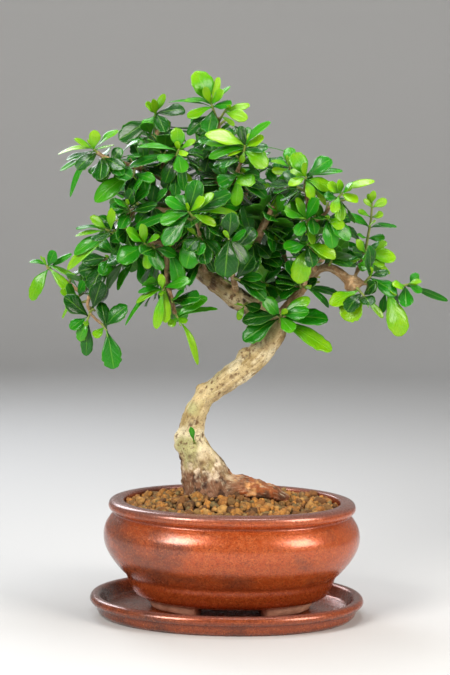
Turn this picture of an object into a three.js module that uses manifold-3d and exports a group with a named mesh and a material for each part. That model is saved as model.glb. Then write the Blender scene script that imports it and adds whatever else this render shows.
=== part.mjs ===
// A Fukien tea bonsai in an oval glazed pot on its oval saucer, in millimetres, +Z up.
// The origin is the middle of the saucer's flat underside. The front, which the camera
// sees, faces -Y, and +X is to the right.
//
// Its pieces: the saucer, the pot with its four pads, two drainage screens, the soil of
// baked clay grains, the tree's wood, and leafy sprays that grow from the wood.

import * as THREE from "three";
import { mergeVertices } from "three/addons/utils/BufferGeometryUtils.js";
import Module from "manifold-3d";

const wasm = await Module();
wasm.setup();

// Driving dimensions.
const GAP = 0.35; // between two pieces that touch
const POT_X = 3; // the pot stands this far right of the saucer's middle
const SAUCER_FLOOR = 6.5;
const PAD_HEIGHT = 8.5;
const POT_FLOOR = 27; // top of the pot's floor inside
const OVAL_SIDES = 32;
const SCREEN = { side: 26, thick: 1.2, hole: 8, pitch: 11.5, x: 32 };
const DRAIN_RADIUS = 8;
const LEAF_THICK = 0.8;
const STEM_RADIUS = [1.35, 0.85]; // at a spray's foot and at its tip
const FINE = 0.25; // detail finer than this is left out
const GRAIN = { pitch: 9.8, lift: 2.2, jitter: 1.6 };

// The saucer and the pot as ovals stacked from the middle of the underside, over the
// lip, to the middle of the inside: [half length, half width, height].
const SAUCER_OVALS = [
  [99, 72, 0],
  [102.4, 75.4, 3],
  [104, 77, 8.4],
  [106.6, 79.6, 9.6],
  [108.7, 81.7, 12.4],
  [107.4, 80.4, 15.4],
  [104.4, 77.4, 16.4],
  [101, 74, 15.4],
  [98.2, 71.2, 11],
  [95.5, 68.5, 7.4],
  [92, 65, SAUCER_FLOOR],
];
const POT_OVALS = [
  [70, 49.5, SAUCER_FLOOR + PAD_HEIGHT],
  [76.5, 56, 18.5],
  [80.8, 59.8, 26],
  [83.6, 61.6, 33],
  [88.5, 66, 38],
  [95.5, 73, 47],
  [100.2, 77.4, 56],
  [101.6, 78.8, 64],
  [100.4, 77.6, 71.5],
  [96.6, 73.8, 78],
  [93.4, 70.6, 81.8],
  [96.2, 73.4, 84.4],
  [97.8, 75, 87.4],
  [95.8, 73, 91.4],
  [87.6, 65, 92.4],
  [85.8, 63.2, 88],
  [92.5, 69.8, 66],
  [88, 65.4, 52],
  [72, 50, POT_FLOOR],
];
const CAVITY_OVALS = [
  [72, 50, POT_FLOOR],
  [88, 65.4, 52],
  [92.5, 69.8, 66],
  [85.8, 63.2, 88],
  [85.6, 63, 112],
];

// The photograph's camera, in millimetres and pixels, which turns a place in the
// photograph and a depth behind the trunk's plane into a point.
const CAMERA = { x: -5, y: -1700, z: 415, focal: 2180, pitch: 6.5, roll: 1, across: 225, down: 337.5 };

// Wood: each limb is a list of [across, down, depth, radius], the first two in the
// photograph's pixels and the others in millimetres.
const LIMBS = {
  trunk: [
    [216, 536, 12, 19], [216, 512, 12, 21], [210, 490, 12, 21], [205, 474, 12, 18.5], [199, 460, 11, 14.8],
    [194, 449, 10, 12.6], [191, 438, 10, 11.1], [192, 429, 9, 10.2], [194, 420, 8, 9.5], [198, 409, 7, 8.9],
    [206, 396, 6, 8.6], [220, 386, 5, 9], [242, 368, 5, 9.9], [260, 353, 4, 9.9], [271, 340, 3, 9],
    [277, 330, 4, 8.4], [276, 320, 6, 8.3], [267, 312, 8, 8.6], [254, 307, 9, 8.7], [242, 301, 8, 8.5],
    [228, 292, 5, 8], [215, 283, 2, 7.2], [204, 274, 0, 6.2], [195, 264, 0, 5.5], [187, 251, 1, 5],
    [181, 239, 3, 4.6], [178, 226, 4, 4.2], [175, 211, 4, 3.9], [171, 195, 2, 3.6], [166, 180, 0, 3.1],
    [164, 168, -2, 2.4],
  ],
  surface_root: [
    [208, 488, 10, 13], [228, 488, 6, 11], [246, 488, 4, 9], [262, 491, 3, 7.4], [276, 494, 3, 6],
    [288, 500, 3, 3.4],
  ],
  hanging: [
    [190, 256, 0, 4], [178, 248, -18, 3.2], [168, 247, -32, 2.8], [167, 262, -36, 2.3],
    [167, 280, -36, 2.2], [171, 298, -34, 2], [175, 314, -32, 1.7],
  ],
  hanging_side: [[167, 247, -32, 2.4], [157, 242, -38, 2.1], [148, 246, -44, 1.6]],
  left_low: [
    [180, 231, 4, 3.6], [160, 243, 12, 3.1], [138, 252, 12, 2.8], [118, 256, 10, 2.6],
    [104, 263, 10, 2.4], [97, 277, 10, 2.3], [93, 290, 8, 2.1],
  ],
  left_tip: [
    [93, 291, 8, 2.1], [80, 291, 14, 1.9], [69, 284, 18, 1.8], [58, 275, 20, 1.5],
    [46, 267, 20, 1.1],
  ],
  left_drop: [
    [93, 291, 8, 2], [88, 301, 0, 1.6], [90, 312, -6, 1.4], [98, 321, -10, 1.3],
    [106, 327, -14, 1.2],
  ],
  left_middle: [
    [176, 212, 4, 3], [158, 210, -10, 2.6], [141, 208, -24, 2.4], [129, 215, -34, 2.2],
    [123, 226, -40, 2], [118, 238, -44, 1.5],
  ],
  left_high: [
    [167, 182, 0, 2.8], [150, 171, -10, 2.5], [135, 167, -18, 2.3], [118, 162, -24, 2.1],
    [106, 158, -27, 1.9], [96, 152, -30, 1.5],
  ],
  top_left: [[164, 169, -2, 2.2], [159, 150, 10, 1.9], [157, 134, 18, 1.7], [155, 120, 22, 1.4]],
  front_fork: [[165, 173, -1, 1.9], [171, 162, -18, 1.6], [177, 155, -30, 1.3]],
  leader: [
    [204, 271, 0, 4.6], [210, 248, 14, 4], [214, 222, 22, 3.6], [216, 190, 22, 3.1],
    [217, 160, 16, 2.6], [218, 138, 10, 2.2], [218, 117, 4, 1.7],
  ],
  leader_side: [
    [214, 222, 22, 2.7], [224, 203, 2, 2.4], [231, 187, -16, 2.1], [238, 170, -28, 1.8],
    [244, 153, -36, 1.4],
  ],
  front_stem: [
    [205, 271, -2, 2.4], [204, 260, -22, 1.8], [202, 245, -38, 1.5], [198, 229, -48, 1.4],
    [194, 216, -54, 1.2],
  ],
  centre: [
    [262, 306, 9, 4.4], [262, 285, 14, 3.7], [259, 262, 10, 3.4], [257, 244, 0, 3.2],
    [261, 231, -12, 3.1], [268, 217, -16, 2.7], [273, 206, -16, 1.8],
  ],
  centre_back: [[259, 258, 9, 2.9], [250, 228, 30, 2.4], [245, 202, 40, 2], [250, 183, 44, 1.5]],
  right_limb: [
    [278, 322, 5, 6], [290, 304, 0, 4], [302, 290, -4, 3.2], [312, 277, -8, 3],
    [322, 268, -10, 3.2], [334, 269, -12, 3.5], [346, 278, -12, 4], [354, 284, -12, 4.1],
    [361, 286, -12, 3.2],
  ],
  right_stub: [[350, 280, -13, 3.4], [346, 291, -14, 2.9]],
  right_upright: [
    [312, 272, -8, 3.3], [312, 250, -18, 2.8], [311, 228, -24, 2.4], [308, 205, -28, 2],
    [305, 182, -30, 1.6],
  ],
  right_side: [[311, 223, -25, 2], [322, 217, -32, 1.7], [330, 207, -36, 1.5], [338, 198, -40, 1.2]],
  inner_upright: [
    [300, 287, -3, 2.8], [290, 270, 12, 2.5], [283, 250, 18, 2.1], [285, 222, 20, 1.8],
    [287, 195, 16, 1.6], [289, 172, 12, 1.3],
  ],
  right_outer: [[352, 281, -12, 2.5], [360, 266, 0, 2], [366, 250, 10, 1.7]],
  right_far: [[358, 283, -12, 2.9], [374, 283, -14, 2.2], [390, 285, -14, 1.8], [406, 286, -14, 1.3]],
  back_left: [[184, 246, 2, 3.6], [172, 232, 26, 2.9], [155, 218, 46, 2.4], [136, 208, 60, 1.7]],
  back_middle: [[219, 281, 2, 4], [222, 262, 28, 3.3], [226, 240, 50, 2.7], [232, 216, 66, 1.9]],
  back_top: [[216, 190, 22, 2.4], [208, 172, 38, 1.9], [200, 152, 48, 1.4]],
  back_right: [[279, 322, 5, 4.2], [292, 300, 26, 3.3], [308, 276, 44, 2.8], [326, 256, 58, 1.8]],
  front_middle: [[236, 292, 6, 3], [233, 277, -24, 2.2], [230, 262, -42, 1.7], [229, 246, -52, 1.3]],
};

// Knots and cut stubs on the wood: [across, down, depth, radius].
const KNOTS = [
  [243, 354, 2, 5.8], [181, 438, 10, 6.2], [181, 446, 10, 6.2], [203, 444, 10, 5], [212, 460, 10, 5],
  [204, 391, 6, 7.4], [228, 386, 5, 6.4], [355, 281, -12, 5], [352, 291, -13, 3.6],
];

// Leafy sprays. twig runs from inside its limb to its tip as [across, down, depth].
// Each leaf is [foot across, foot down, tip across, tip down, width in mm, how far it
// leans to the camera from -1 to 1, age from 0 for old to 1 for young, roll in degrees],
// with a ninth value for a leaf that arches by a set share of its length.
// more is how many leaves the rule adds round the twig.
const SPRAYS = {
  left_high_tip: {
    twig: [[99, 154, -29], [94, 149, -32]],
    leaves: [
      [94, 150, 58, 154, 8, 0.3, 0.95, 30, 0.8], [93, 148, 95, 130, 9, 0.4, 0.9, 0],
      [95, 148, 114, 145, 6, 0.3, 0.9, 30],
      [96, 146, 118, 130, 9, 0.2, 0.8, 25], [94, 152, 66, 160, 9, 0.2, 0.3, 25],
      [96, 153, 60, 171, 8, 0.1, 0.6, 32],
      [97, 154, 77, 169, 12, 0.7, 0.1, 0], [98, 155, 70, 197, 6, 0.3, 0.5, 24, 0.5],
      [93, 148, 74, 139, 6, 0.3, 0.9, 0],
    ],
    more: 0,
  },
  left_high_middle: {
    twig: [[114, 161, -25], [109, 168, -32]],
    leaves: [
      [109, 167, 88, 172, 9, 0.2, 0.6, 20], [110, 168, 101, 179, 10, 0.6, 0.1, 0],
      [112, 164, 121, 148, 10, 0.2, 0.3, 0],
    ],
    more: 1,
  },
  left_high_low: {
    twig: [[135, 168, -18], [133, 177, -26]],
    leaves: [
      [133, 174, 95, 202, 16, 0.2, 0.7, 0, 0.6], [136, 172, 142, 198, 17, 0.4, 0.15, 0],
      [133, 172, 103, 172, 12, 0.6, 0.1, 10],
      [134, 171, 120, 157, 10, -0.4, 0.3, 0],
    ],
    more: 1,
  },
  left_middle_tip: {
    twig: [[120, 236, -43], [105, 229, -47]],
    leaves: [
      [103, 228, 76, 228, 8, 0.2, 0.5, 32], [104, 230, 75, 236, 6, 0.5, 0.85, 20],
      [104, 228, 90, 217, 8, 0.5, 0.9, 0],
      [106, 227, 112, 208, 8, 0.4, 0.9, 20], [107, 231, 74, 254, 11, 0.1, 0.6, 0],
      [113, 234, 67, 270, 12, 0.3, 0.88, 15, 0.6],
      [110, 231, 116, 246, 11, -0.6, 0.1, 0],
    ],
    more: 0,
  },
  left_middle_up: {
    twig: [[131, 214, -33], [127, 206, -38]],
    leaves: [
      [128, 206, 110, 210, 11, 0.4, 0.35, 0], [129, 207, 132, 191, 13, 0.5, 0.12, 0],
      [131, 208, 148, 190, 9, 0.2, 0.35, 20],
      [130, 211, 112, 232, 12, 0.3, 0.5, 0], [131, 212, 150, 206, 9, 0.4, 0.1, 0],
    ],
    more: 1,
  },
  left_end: {
    twig: [[51, 270, 20], [46, 265, 19]],
    leaves: [
      [47, 267, 30, 262, 8, 0.4, 0.6, 30, 0.8], [48, 268, 55, 251, 10, 0.4, 0.45, 0],
      [52, 269, 72, 254, 7, 0.3, 0.5, 10],
      [50, 271, 31, 300, 12, 0.3, 0.85, 0, 0.6], [51, 270, 70, 292, 8, 0.4, 0.9, 0],
      [52, 269, 77, 278, 8, 0.3, 0.85, 20],
    ],
    more: 0,
  },
  left_fork: {
    twig: [[86, 291, 13], [78, 297, 6]],
    leaves: [
      [79, 296, 60, 291, 7, 0.4, 0.85, 0], [79, 298, 62, 318, 6, 0.3, 0.9, 30],
      [82, 295, 100, 288, 10, 0.5, 0.15, 0],
      [79, 296, 84, 281, 9, 0.5, 0.4, 0],
    ],
    more: 0,
  },
  left_drop_middle: {
    twig: [[90, 313, -6], [87, 321, -10]],
    leaves: [
      [89, 315, 64, 297, 16, 0.3, 0.12, 0], [88, 317, 70, 329, 11, 0.2, 0.5, 15],
      [87, 321, 79, 341, 9, 0.5, 0.7, 0, 0.7],
      [89, 321, 86, 356, 10, 0.1, 0.3, 10],
    ],
    more: 0,
  },
  left_drop_tip: {
    twig: [[102, 324, -13], [107, 331, -17]],
    leaves: [
      [106, 326, 127, 306, 14, 0.4, 0.3, 0], [103, 325, 101, 302, 10, -0.4, 0.15, 0],
      [106, 331, 114, 369, 16, 0.1, 0.45, 0],
      [104, 329, 94, 337, 8, 0.4, 0.9, 0],
    ],
    more: 0,
  },
  left_low_outer: {
    twig: [[113, 258, 10], [107, 257, 2]],
    leaves: [
      [108, 256, 82, 262, 12, 0.4, 0.1, 0], [107, 259, 90, 290, 17, 0.2, 0.1, 0],
      [112, 259, 103, 275, 12, 0.6, 0.5, 0],
      [109, 255, 122, 245, 9, 0.3, 0.3, 0],
    ],
    more: 1,
  },
  left_low_middle: {
    twig: [[139, 252, 12], [134, 259, 3]],
    leaves: [
      [133, 260, 117, 290, 9, 0.1, 0.6, 32], [134, 260, 155, 287, 18, 0.3, 0.5, 0],
      [137, 256, 121, 262, 12, 0.2, 0.4, 0],
    ],
    more: 1,
  },
  top_left_tip: {
    twig: [[155, 124, 22], [156, 112, 20]],
    leaves: [
      [157, 112, 165, 94, 7, 0.4, 0.9, 0], [155, 112, 146, 103, 8, 0.5, 0.85, 0],
      [156, 115, 144, 127, 9, 0.7, 0.7, 0],
      [154, 114, 119, 140, 17, 0, 0.12, 0], [158, 115, 165, 132, 12, 0.7, 0.2, 0],
      [158, 113, 185, 110, 12, -0.4, 0.15, 0],
      [156, 111, 153, 99, 6, 0.6, 0.95, 0],
    ],
    more: 0,
  },
  top_left_low: {
    twig: [[157, 138, 18], [152, 140, 24]],
    leaves: [[153, 139, 129, 143, 12, 0.3, 0.08, 0], [156, 138, 170, 145, 10, 0.5, 0.3, 0]],
    more: 3,
  },
  front_fork: {
    twig: [[176, 157, -29], [179, 149, -33]],
    leaves: [
      [179, 148, 177, 128, 11, 0.3, 0.8, 0], [177, 150, 137, 147, 9, 0.2, 0.6, 25, 0.5],
      [176, 153, 128, 168, 11, 0.1, 0.35, 25],
      [177, 154, 158, 160, 9, 0.5, 0.55, 0], [181, 148, 195, 140, 6, 0.5, 0.85, 0],
      [180, 149, 186, 156, 7, 0.8, 0.98, 0],
      [178, 154, 182, 173, 12, 0.6, 0.65, 0], [178, 156, 165, 183, 13, -0.2, 0.1, 0],
      [180, 154, 184, 191, 8, -0.1, 0.3, 0],
    ],
    more: 0,
  },
  fork_low: {
    twig: [[170, 163, -20], [176, 171, -29]],
    leaves: [
      [176, 171, 176, 198, 9, 0.3, 0.35, 0], [178, 171, 192, 181, 7, 0.4, 0.85, 0],
      [175, 170, 166, 190, 12, 0.2, 0.12, 0],
    ],
    more: 0,
  },
  top_tip: {
    twig: [[217, 120, 4], [211, 103, -2]],
    leaves: [
      [209, 101, 195, 72, 19, 0.2, 0.82, 0], [211, 101, 219, 77, 6, 0.2, 1, 0],
      [210, 102, 204, 87, 7, 0.8, 1, 0],
      [212, 102, 230, 86, 7, 0.3, 0.75, 30], [213, 104, 223, 90, 9, 0.6, 0.85, 0],
      [214, 106, 232, 104, 10, 0.3, 0.5, 0],
      [209, 103, 185, 100, 9, 0.4, 0.7, 25, 0.7], [210, 106, 169, 102, 6, 0.1, 0.6, 30, 0.4],
      [211, 108, 187, 117, 10, 0.4, 0.85, 0],
      [213, 111, 208, 133, 14, 0.6, 0.3, 0], [213, 113, 187, 134, 11, 0.2, 0.2, 0],
    ],
    more: 0,
  },
  top_side: {
    twig: [[217, 124, 5], [226, 109, -5]],
    leaves: [
      [226, 109, 250, 105, 8, 0.3, 0.9, 0], [225, 111, 247, 119, 10, 0.5, 0.9, 0],
      [224, 114, 234, 126, 7, 0.5, 0.9, 25, 0.7],
    ],
    more: 0,
  },
  leader_side_tip: {
    twig: [[243, 155, -36], [245, 145, -40]],
    leaves: [
      [243, 144, 205, 135, 16, 0.3, 1, 10, 0.9], [243, 146, 205, 144, 12, 0, 0.7, 25, 0.6],
      [243, 149, 209, 157, 11, 0.3, 0.65, 10, 0.7],
      [243, 151, 228, 156, 6, 0.6, 0.95, 20, 0.6], [244, 145, 240, 126, 8, -0.2, 0.15, 0],
      [245, 144, 249, 127, 7, 0.1, 0.4, 0],
      [246, 144, 270, 122, 9, 0.1, 0.65, 30, 0.8], [246, 146, 264, 137, 9, 0.5, 0.98, 0],
      [247, 148, 268, 148, 11, 0.3, 0.3, 0],
      [246, 151, 267, 166, 15, 0.4, 0.85, 0, 0.6], [246, 149, 284, 151, 8, -0.1, 0.6, 32, 0.7],
      [244, 152, 241, 163, 5, 0.4, 0.95, 0],
    ],
    more: 0,
  },
  leader_side_low: {
    twig: [[235, 177, -25], [243, 172, -34]],
    leaves: [
      [242, 172, 248, 186, 14, 0.8, 0.8, 0], [239, 175, 229, 155, 10, -0.3, 0.05, 0],
      [238, 176, 236, 206, 10, 0.3, 0.8, 0],
      [237, 176, 218, 184, 14, 0.3, 0.4, 0], [241, 172, 260, 176, 10, -0.3, 0.2, 0],
    ],
    more: 1,
  },
  leader_middle: {
    twig: [[217, 151, 13], [210, 143, 6]],
    leaves: [
      [210, 144, 194, 157, 14, 0.4, 0.1, 0], [213, 148, 205, 172, 15, 0.2, 0.1, 0],
      [211, 142, 201, 134, 9, 0.3, 0.3, 0],
    ],
    more: 3,
  },
  inner_tip: {
    twig: [[289, 175, 12], [290, 166, 8]],
    leaves: [
      [289, 167, 271, 161, 7, 0.4, 0.8, 20, 0.7], [290, 165, 296, 156, 7, 0.3, 0.85, 0],
      [289, 169, 272, 172, 8, 0.6, 0.95, 0],
      [289, 171, 299, 182, 9, 0.3, 0.8, 0],
    ],
    more: 1,
  },
  inner_middle: {
    twig: [[287, 200, 16], [279, 189, 7]],
    leaves: [
      [279, 190, 276, 211, 13, 0.3, 0.9, 0], [281, 191, 298, 191, 13, 0.3, 0.2, 0],
      [278, 188, 256, 184, 6, 0.2, 0.85, 0],
      [279, 188, 267, 169, 8, 0.1, 0.5, 0], [279, 188, 286, 172, 7, 0.4, 0.6, 0],
      [284, 196, 296, 207, 12, 0, 0.15, 0],
    ],
    more: 0,
  },
  inner_low: {
    twig: [[284, 244, 18], [277, 243, 8]],
    leaves: [
      [278, 244, 263, 258, 17, 0.3, 0.15, 0], [279, 243, 276, 211, 13, -0.1, 0.1, 0],
      [280, 243, 293, 229, 10, 0.2, 0.3, 0],
    ],
    more: 2,
  },
  right_upright_tip: {
    twig: [[305, 184, -30], [306, 176, -33]],
    leaves: [
      [306, 176, 294, 153, 14, 0.1, 0.82, 0], [308, 176, 331, 159, 14, 0.2, 0.4, 0],
      [308, 178, 343, 171, 9, 0.1, 0.5, 25, 0.5],
      [308, 179, 335, 191, 12, 0.4, 0.9, 0, 0.7], [305, 177, 291, 170, 10, 0.4, 0.88, 10, 0.8],
      [305, 179, 289, 186, 10, 0.5, 0.9, 15, 0.9],
      [306, 176, 303, 163, 7, 0.8, 0.95, 0], [307, 181, 313, 199, 8, 0.6, 0.9, 0],
      [308, 181, 326, 205, 7, 0.2, 0.95, 25],
      [307, 180, 334, 199, 9, -0.3, 0.35, 0],
    ],
    more: 0,
  },
  right_side_tip: {
    twig: [[336, 200, -39], [343, 192, -42]],
    leaves: [
      [343, 192, 375, 181, 9, 0.1, 0.97, 20, 0.6], [342, 192, 352, 184, 10, 0.7, 0.75, 0],
      [341, 193, 339, 180, 6, 0.5, 0.9, 0],
      [342, 195, 358, 202, 11, 0.3, 1, 15, 0.7], [339, 198, 341, 221, 9, 0.4, 0.88, 0],
      [340, 195, 328, 184, 10, 0.3, 0.88, 0],
      [338, 199, 324, 196, 9, 0.2, 0.35, 0], [338, 199, 333, 213, 8, 0.6, 0.9, 0],
    ],
    more: 0,
  },
  right_side_middle: {
    twig: [[323, 216, -32], [327, 219, -39]],
    leaves: [
      [325, 219, 333, 248, 13, 0.4, 0.5, 0, 0.6], [328, 219, 350, 240, 13, 0.3, 0.5, 0, 0.6],
      [327, 217, 339, 208, 8, 0.4, 0.8, 0],
      [327, 218, 344, 227, 10, 0.6, 0.9, 0],
    ],
    more: 0,
  },
  right_upright_middle: {
    twig: [[311, 226, -25], [305, 219, -33]],
    leaves: [
      [306, 220, 285, 206, 13, 0.3, 0.7, 0], [305, 221, 297, 235, 10, 0.6, 0.5, 0],
      [308, 223, 313, 244, 8, 0.4, 0.85, 25],
      [307, 219, 318, 198, 11, 0.2, 0.5, 0], [308, 222, 300, 241, 11, -0.2, 0.05, 0],
      [306, 219, 296, 198, 9, -0.2, 0.8, 0],
    ],
    more: 0,
  },
  right_upright_low: {
    twig: [[312, 251, -19], [307, 244, -27]],
    leaves: [
      [309, 244, 336, 257, 12, 0.2, 0.9, 0, 0.5], [306, 245, 284, 249, 14, 0.3, 0.5, 0],
      [306, 247, 297, 283, 16, 0.3, 0.88, 0],
      [309, 247, 313, 267, 11, -0.2, 0.15, 0], [309, 246, 326, 259, 6, 0.3, 0.85, 0],
    ],
    more: 0,
  },
  outer_stem: {
    twig: [[365, 253, 10], [368, 236, 8], [371, 219, 7], [372, 203, 7]],
    leaves: [
      [372, 203, 364, 199, 5, 0.4, 0.97, 0], [372, 203, 373, 191, 6, 0.4, 1, 0],
      [373, 204, 387, 200, 8, 0.2, 0.97, 0],
      [371, 213, 358, 210, 5, 0.3, 0.85, 0], [372, 214, 383, 214, 7, 0.3, 0.95, 0],
      [369, 229, 346, 214, 8, 0.1, 0.5, 0, 0.9],
      [371, 224, 397, 227, 9, 0.2, 0.4, 25, 0.6], [369, 231, 374, 222, 8, 0.7, 0.95, 0],
      [368, 239, 357, 235, 6, 0.3, 0.7, 20],
      [368, 240, 385, 238, 8, 0.3, 0.6, 0],
    ],
    more: 0,
  },
  outer_low: {
    twig: [[363, 260, 4], [368, 252, -3]],
    leaves: [
      [369, 253, 396, 259, 13, 0.2, 0.9, 0, 0.5], [368, 252, 379, 243, 8, 0.7, 0.3, 0],
      [367, 255, 384, 266, 9, 0.5, 0.85, 0],
      [367, 252, 356, 240, 8, 0.4, 0.88, 0], [366, 254, 353, 252, 11, 0.6, 0.1, 0],
      [365, 256, 336, 257, 11, 0.1, 0.5, 0],
      [365, 257, 363, 271, 9, 0.7, 0.7, 0], [368, 251, 387, 242, 8, 0, 0.88, 0],
      [367, 253, 336, 243, 9, -0.4, 0.5, 0],
      [365, 258, 342, 265, 6, 0.3, 0.9, 0, 0.5], [366, 257, 390, 274, 6, 0, 0.9, 20],
    ],
    more: 0,
  },
  right_fork: {
    twig: [[364, 284, -13], [371, 276, -19]],
    leaves: [
      [372, 276, 396, 295, 13, 0.2, 0.4, 0], [371, 277, 376, 291, 12, 0, 0.08, 0],
      [371, 275, 389, 272, 8, 0.3, 0.1, 0],
    ],
    more: 1,
  },
  right_low: {
    twig: [[356, 287, -14], [365, 297, -22]],
    leaves: [
      [366, 298, 344, 320, 18, 0.2, 0.95, 0], [361, 293, 347, 311, 13, 0.7, 0.12, 0],
      [359, 291, 330, 305, 13, -0.1, 0.9, 0],
      [366, 299, 383, 318, 6, 0.3, 0.9, 0], [364, 295, 370, 305, 12, 0.9, 0.1, 0],
      [366, 297, 375, 283, 12, 0.5, 0.08, 0],
    ],
    more: 0,
  },
  far_middle: {
    twig: [[383, 284, -14], [387, 292, -19]],
    leaves: [
      [388, 292, 402, 336, 18, 0, 0.9, 0], [386, 293, 382, 313, 7, 0.4, 0.4, 30],
      [387, 291, 399, 302, 10, -0.3, 0.2, 0],
    ],
    more: 0,
  },
  far_tip: {
    twig: [[402, 286, -14], [409, 284, -14]],
    leaves: [
      [405, 285, 419, 275, 9, 0.3, 0.45, 0], [405, 286, 394, 286, 10, 0.5, 0.9, 0],
      [409, 285, 422, 292, 7, 0.3, 0.5, 0],
      [410, 285, 448, 301, 7, 0, 0.2, 0], [409, 284, 421, 282, 6, 0.6, 0.88, 20, 0.7],
      [407, 286, 406, 307, 12, 0.3, 0.4, 0],
    ],
    more: 0,
  },
  turn_front: {
    twig: [[279, 323, 0], [281, 314, -16]],
    leaves: [
      [282, 314, 310, 298, 11, 0.3, 0.8, 0], [283, 315, 309, 312, 12, 0.6, 0.5, 0],
      [283, 316, 328, 319, 15, 0, 0.4, 0],
      [281, 318, 293, 332, 12, 0.5, 0.75, 0], [284, 318, 332, 351, 15, 0, 0.85, 0],
      [280, 313, 264, 299, 13, 0.4, 0.6, 0],
      [279, 316, 242, 321, 15, 0.1, 0.15, 0], [279, 318, 243, 341, 17, 0.1, 0.35, 10],
    ],
    more: 0,
  },
  turn_left: {
    twig: [[250, 301, 8], [243, 306, -8]],
    leaves: [
      [244, 306, 238, 320, 6, 0.3, 0.9, 0], [247, 303, 231, 278, 7, -0.1, 0.6, 20],
      [245, 304, 260, 309, 11, 0.4, 0.1, 0],
    ],
    more: 0,
  },
  centre_front: {
    twig: [[262, 287, 14], [265, 283, -5]],
    leaves: [
      [266, 284, 272, 301, 15, 0.5, 0.2, 0], [267, 282, 279, 260, 13, 0.2, 0.35, 0],
      [267, 284, 289, 295, 12, 0, 0.75, 0],
      [265, 283, 257, 264, 17, 0.2, 0.8, 0], [264, 285, 247, 280, 13, 0.6, 0.05, 0],
      [264, 286, 247, 303, 14, 0.2, 0.08, 0],
      [268, 284, 296, 290, 11, 0.4, 0.1, 0],
    ],
    more: 0,
  },
  limb_front: {
    twig: [[303, 285, -4], [306, 289, -13]],
    leaves: [
      [307, 290, 329, 307, 8, 0.2, 0.35, 20, 0.7], [307, 288, 340, 295, 12, -0.1, 0.3, 0],
      [306, 287, 317, 280, 9, 0.3, 0.1, 0],
    ],
    more: 0,
  },
  middle_front: {
    twig: [[229, 250, -49], [229, 238, -54]],
    leaves: [
      [229, 239, 225, 277, 19, 0.1, 0.15, 0], [229, 237, 231, 213, 14, 0.3, 0.15, 0],
      [231, 240, 247, 263, 12, 0, 0.15, 0],
      [230, 237, 246, 231, 8, 0.5, 0.4, 0],
    ],
    more: 1,
  },
  stem_front: {
    twig: [[195, 219, -53], [188, 211, -58]],
    leaves: [
      [188, 210, 165, 199, 11, 0.3, 0.5, 0], [188, 212, 160, 222, 11, 0.4, 0.6, 0],
      [190, 211, 204, 200, 12, 0.9, 0.9, 0],
      [190, 210, 198, 180, 15, 0.3, 0.3, 0], [191, 212, 231, 193, 17, 0, 0.25, 0],
      [191, 213, 237, 213, 8, 0, 0.85, 0, 0.5],
      [192, 215, 216, 225, 8, 0.4, 0.88, 0, 0.5], [190, 215, 163, 245, 14, 0.1, 0.4, 0],
      [189, 213, 133, 229, 10, -0.2, 0.35, 20],
      [190, 210, 213, 193, 8, 0.5, 0.85, 0],
    ],
    more: 0,
  },
  stem_low: {
    twig: [[201, 240, -39], [196, 235, -46]],
    leaves: [
      [197, 236, 186, 268, 17, 0.2, 0.5, 0], [199, 237, 214, 271, 9, 0.2, 0.15, 0],
      [198, 235, 212, 220, 11, 0.3, 0.1, 0],
    ],
    more: 0,
  },
  centre_dark: {
    twig: [[258, 242, -6], [250, 243, -20]],
    leaves: [
      [250, 244, 254, 262, 12, 0.5, 0.1, 0], [251, 242, 243, 205, 10, 0.1, 0.25, 0],
      [254, 243, 270, 257, 12, 0.5, 0.12, 0],
    ],
    more: 2,
  },
  hanging_side: {
    twig: [[149, 246, -44], [144, 243, -48]],
    leaves: [
      [145, 244, 118, 262, 17, 0.3, 0.5, 0], [144, 242, 126, 230, 12, 0.3, 0.78, 0],
      [145, 242, 142, 224, 7, 0.4, 0.85, 0],
      [147, 244, 159, 236, 9, 0.5, 0.75, 20, 0.8], [147, 246, 148, 269, 8, 0.3, 0.85, 0],
      [148, 245, 163, 270, 11, -0.2, 0.5, 0],
    ],
    more: 0,
  },
  hanging_top: {
    twig: [[167, 252, -33], [170, 247, -40]],
    leaves: [[171, 248, 182, 291, 12, 0, 0.55, 0], [170, 247, 182, 267, 8, 0.5, 0.4, 20]],
    more: 0,
  },
  hanging_middle: {
    twig: [[168, 282, -36], [162, 291, -41]],
    leaves: [
      [162, 292, 136, 303, 9, 0.3, 0.85, 25, 0.9], [162, 290, 138, 292, 8, -0.1, 0.5, 25, 0.7],
      [162, 292, 125, 325, 7, 0, 0.55, 25, 0.8],
      [163, 292, 156, 329, 8, 0.1, 0.85, 0], [163, 292, 166, 323, 9, -0.1, 1, 0],
      [163, 289, 161, 274, 6, 0.4, 0.95, 0],
      [165, 288, 190, 280, 9, 0.1, 0.6, 0],
    ],
    more: 0,
  },
  hanging_tip: {
    twig: [[175, 312, -32], [178, 319, -34]],
    leaves: [
      [176, 314, 161, 308, 9, 0.3, 0.2, 0], [178, 315, 207, 297, 11, 0.1, 0.6, 0, 0.5],
      [178, 317, 218, 309, 9, -0.2, 0.65, 25, 0.9],
      [179, 320, 198, 365, 7, -0.1, 0.97, 30, 0.6], [177, 319, 169, 326, 7, 0.6, 0.85, 0],
      [179, 318, 186, 323, 7, 0.7, 0.85, 0],
    ],
    more: 0,
  },
  sprout: {
    twig: [[196, 446, 6], [194, 441, -5]],
    leaves: [[194, 441, 190.5, 427, 4.5, 0.1, 0.62, 0]],
    more: 0,
  },
  back_left: { twig: [[138, 209, 59], [124, 200, 68]], leaves: [], more: 8 },
  back_left_middle: { twig: [[158, 220, 43], [150, 204, 48]], leaves: [], more: 8 },
  back_middle: { twig: [[231, 219, 65], [236, 204, 74]], leaves: [], more: 8 },
  back_top: { twig: [[201, 154, 47], [196, 141, 54]], leaves: [], more: 8 },
  back_right: { twig: [[324, 258, 57], [337, 250, 68]], leaves: [], more: 7 },
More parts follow.
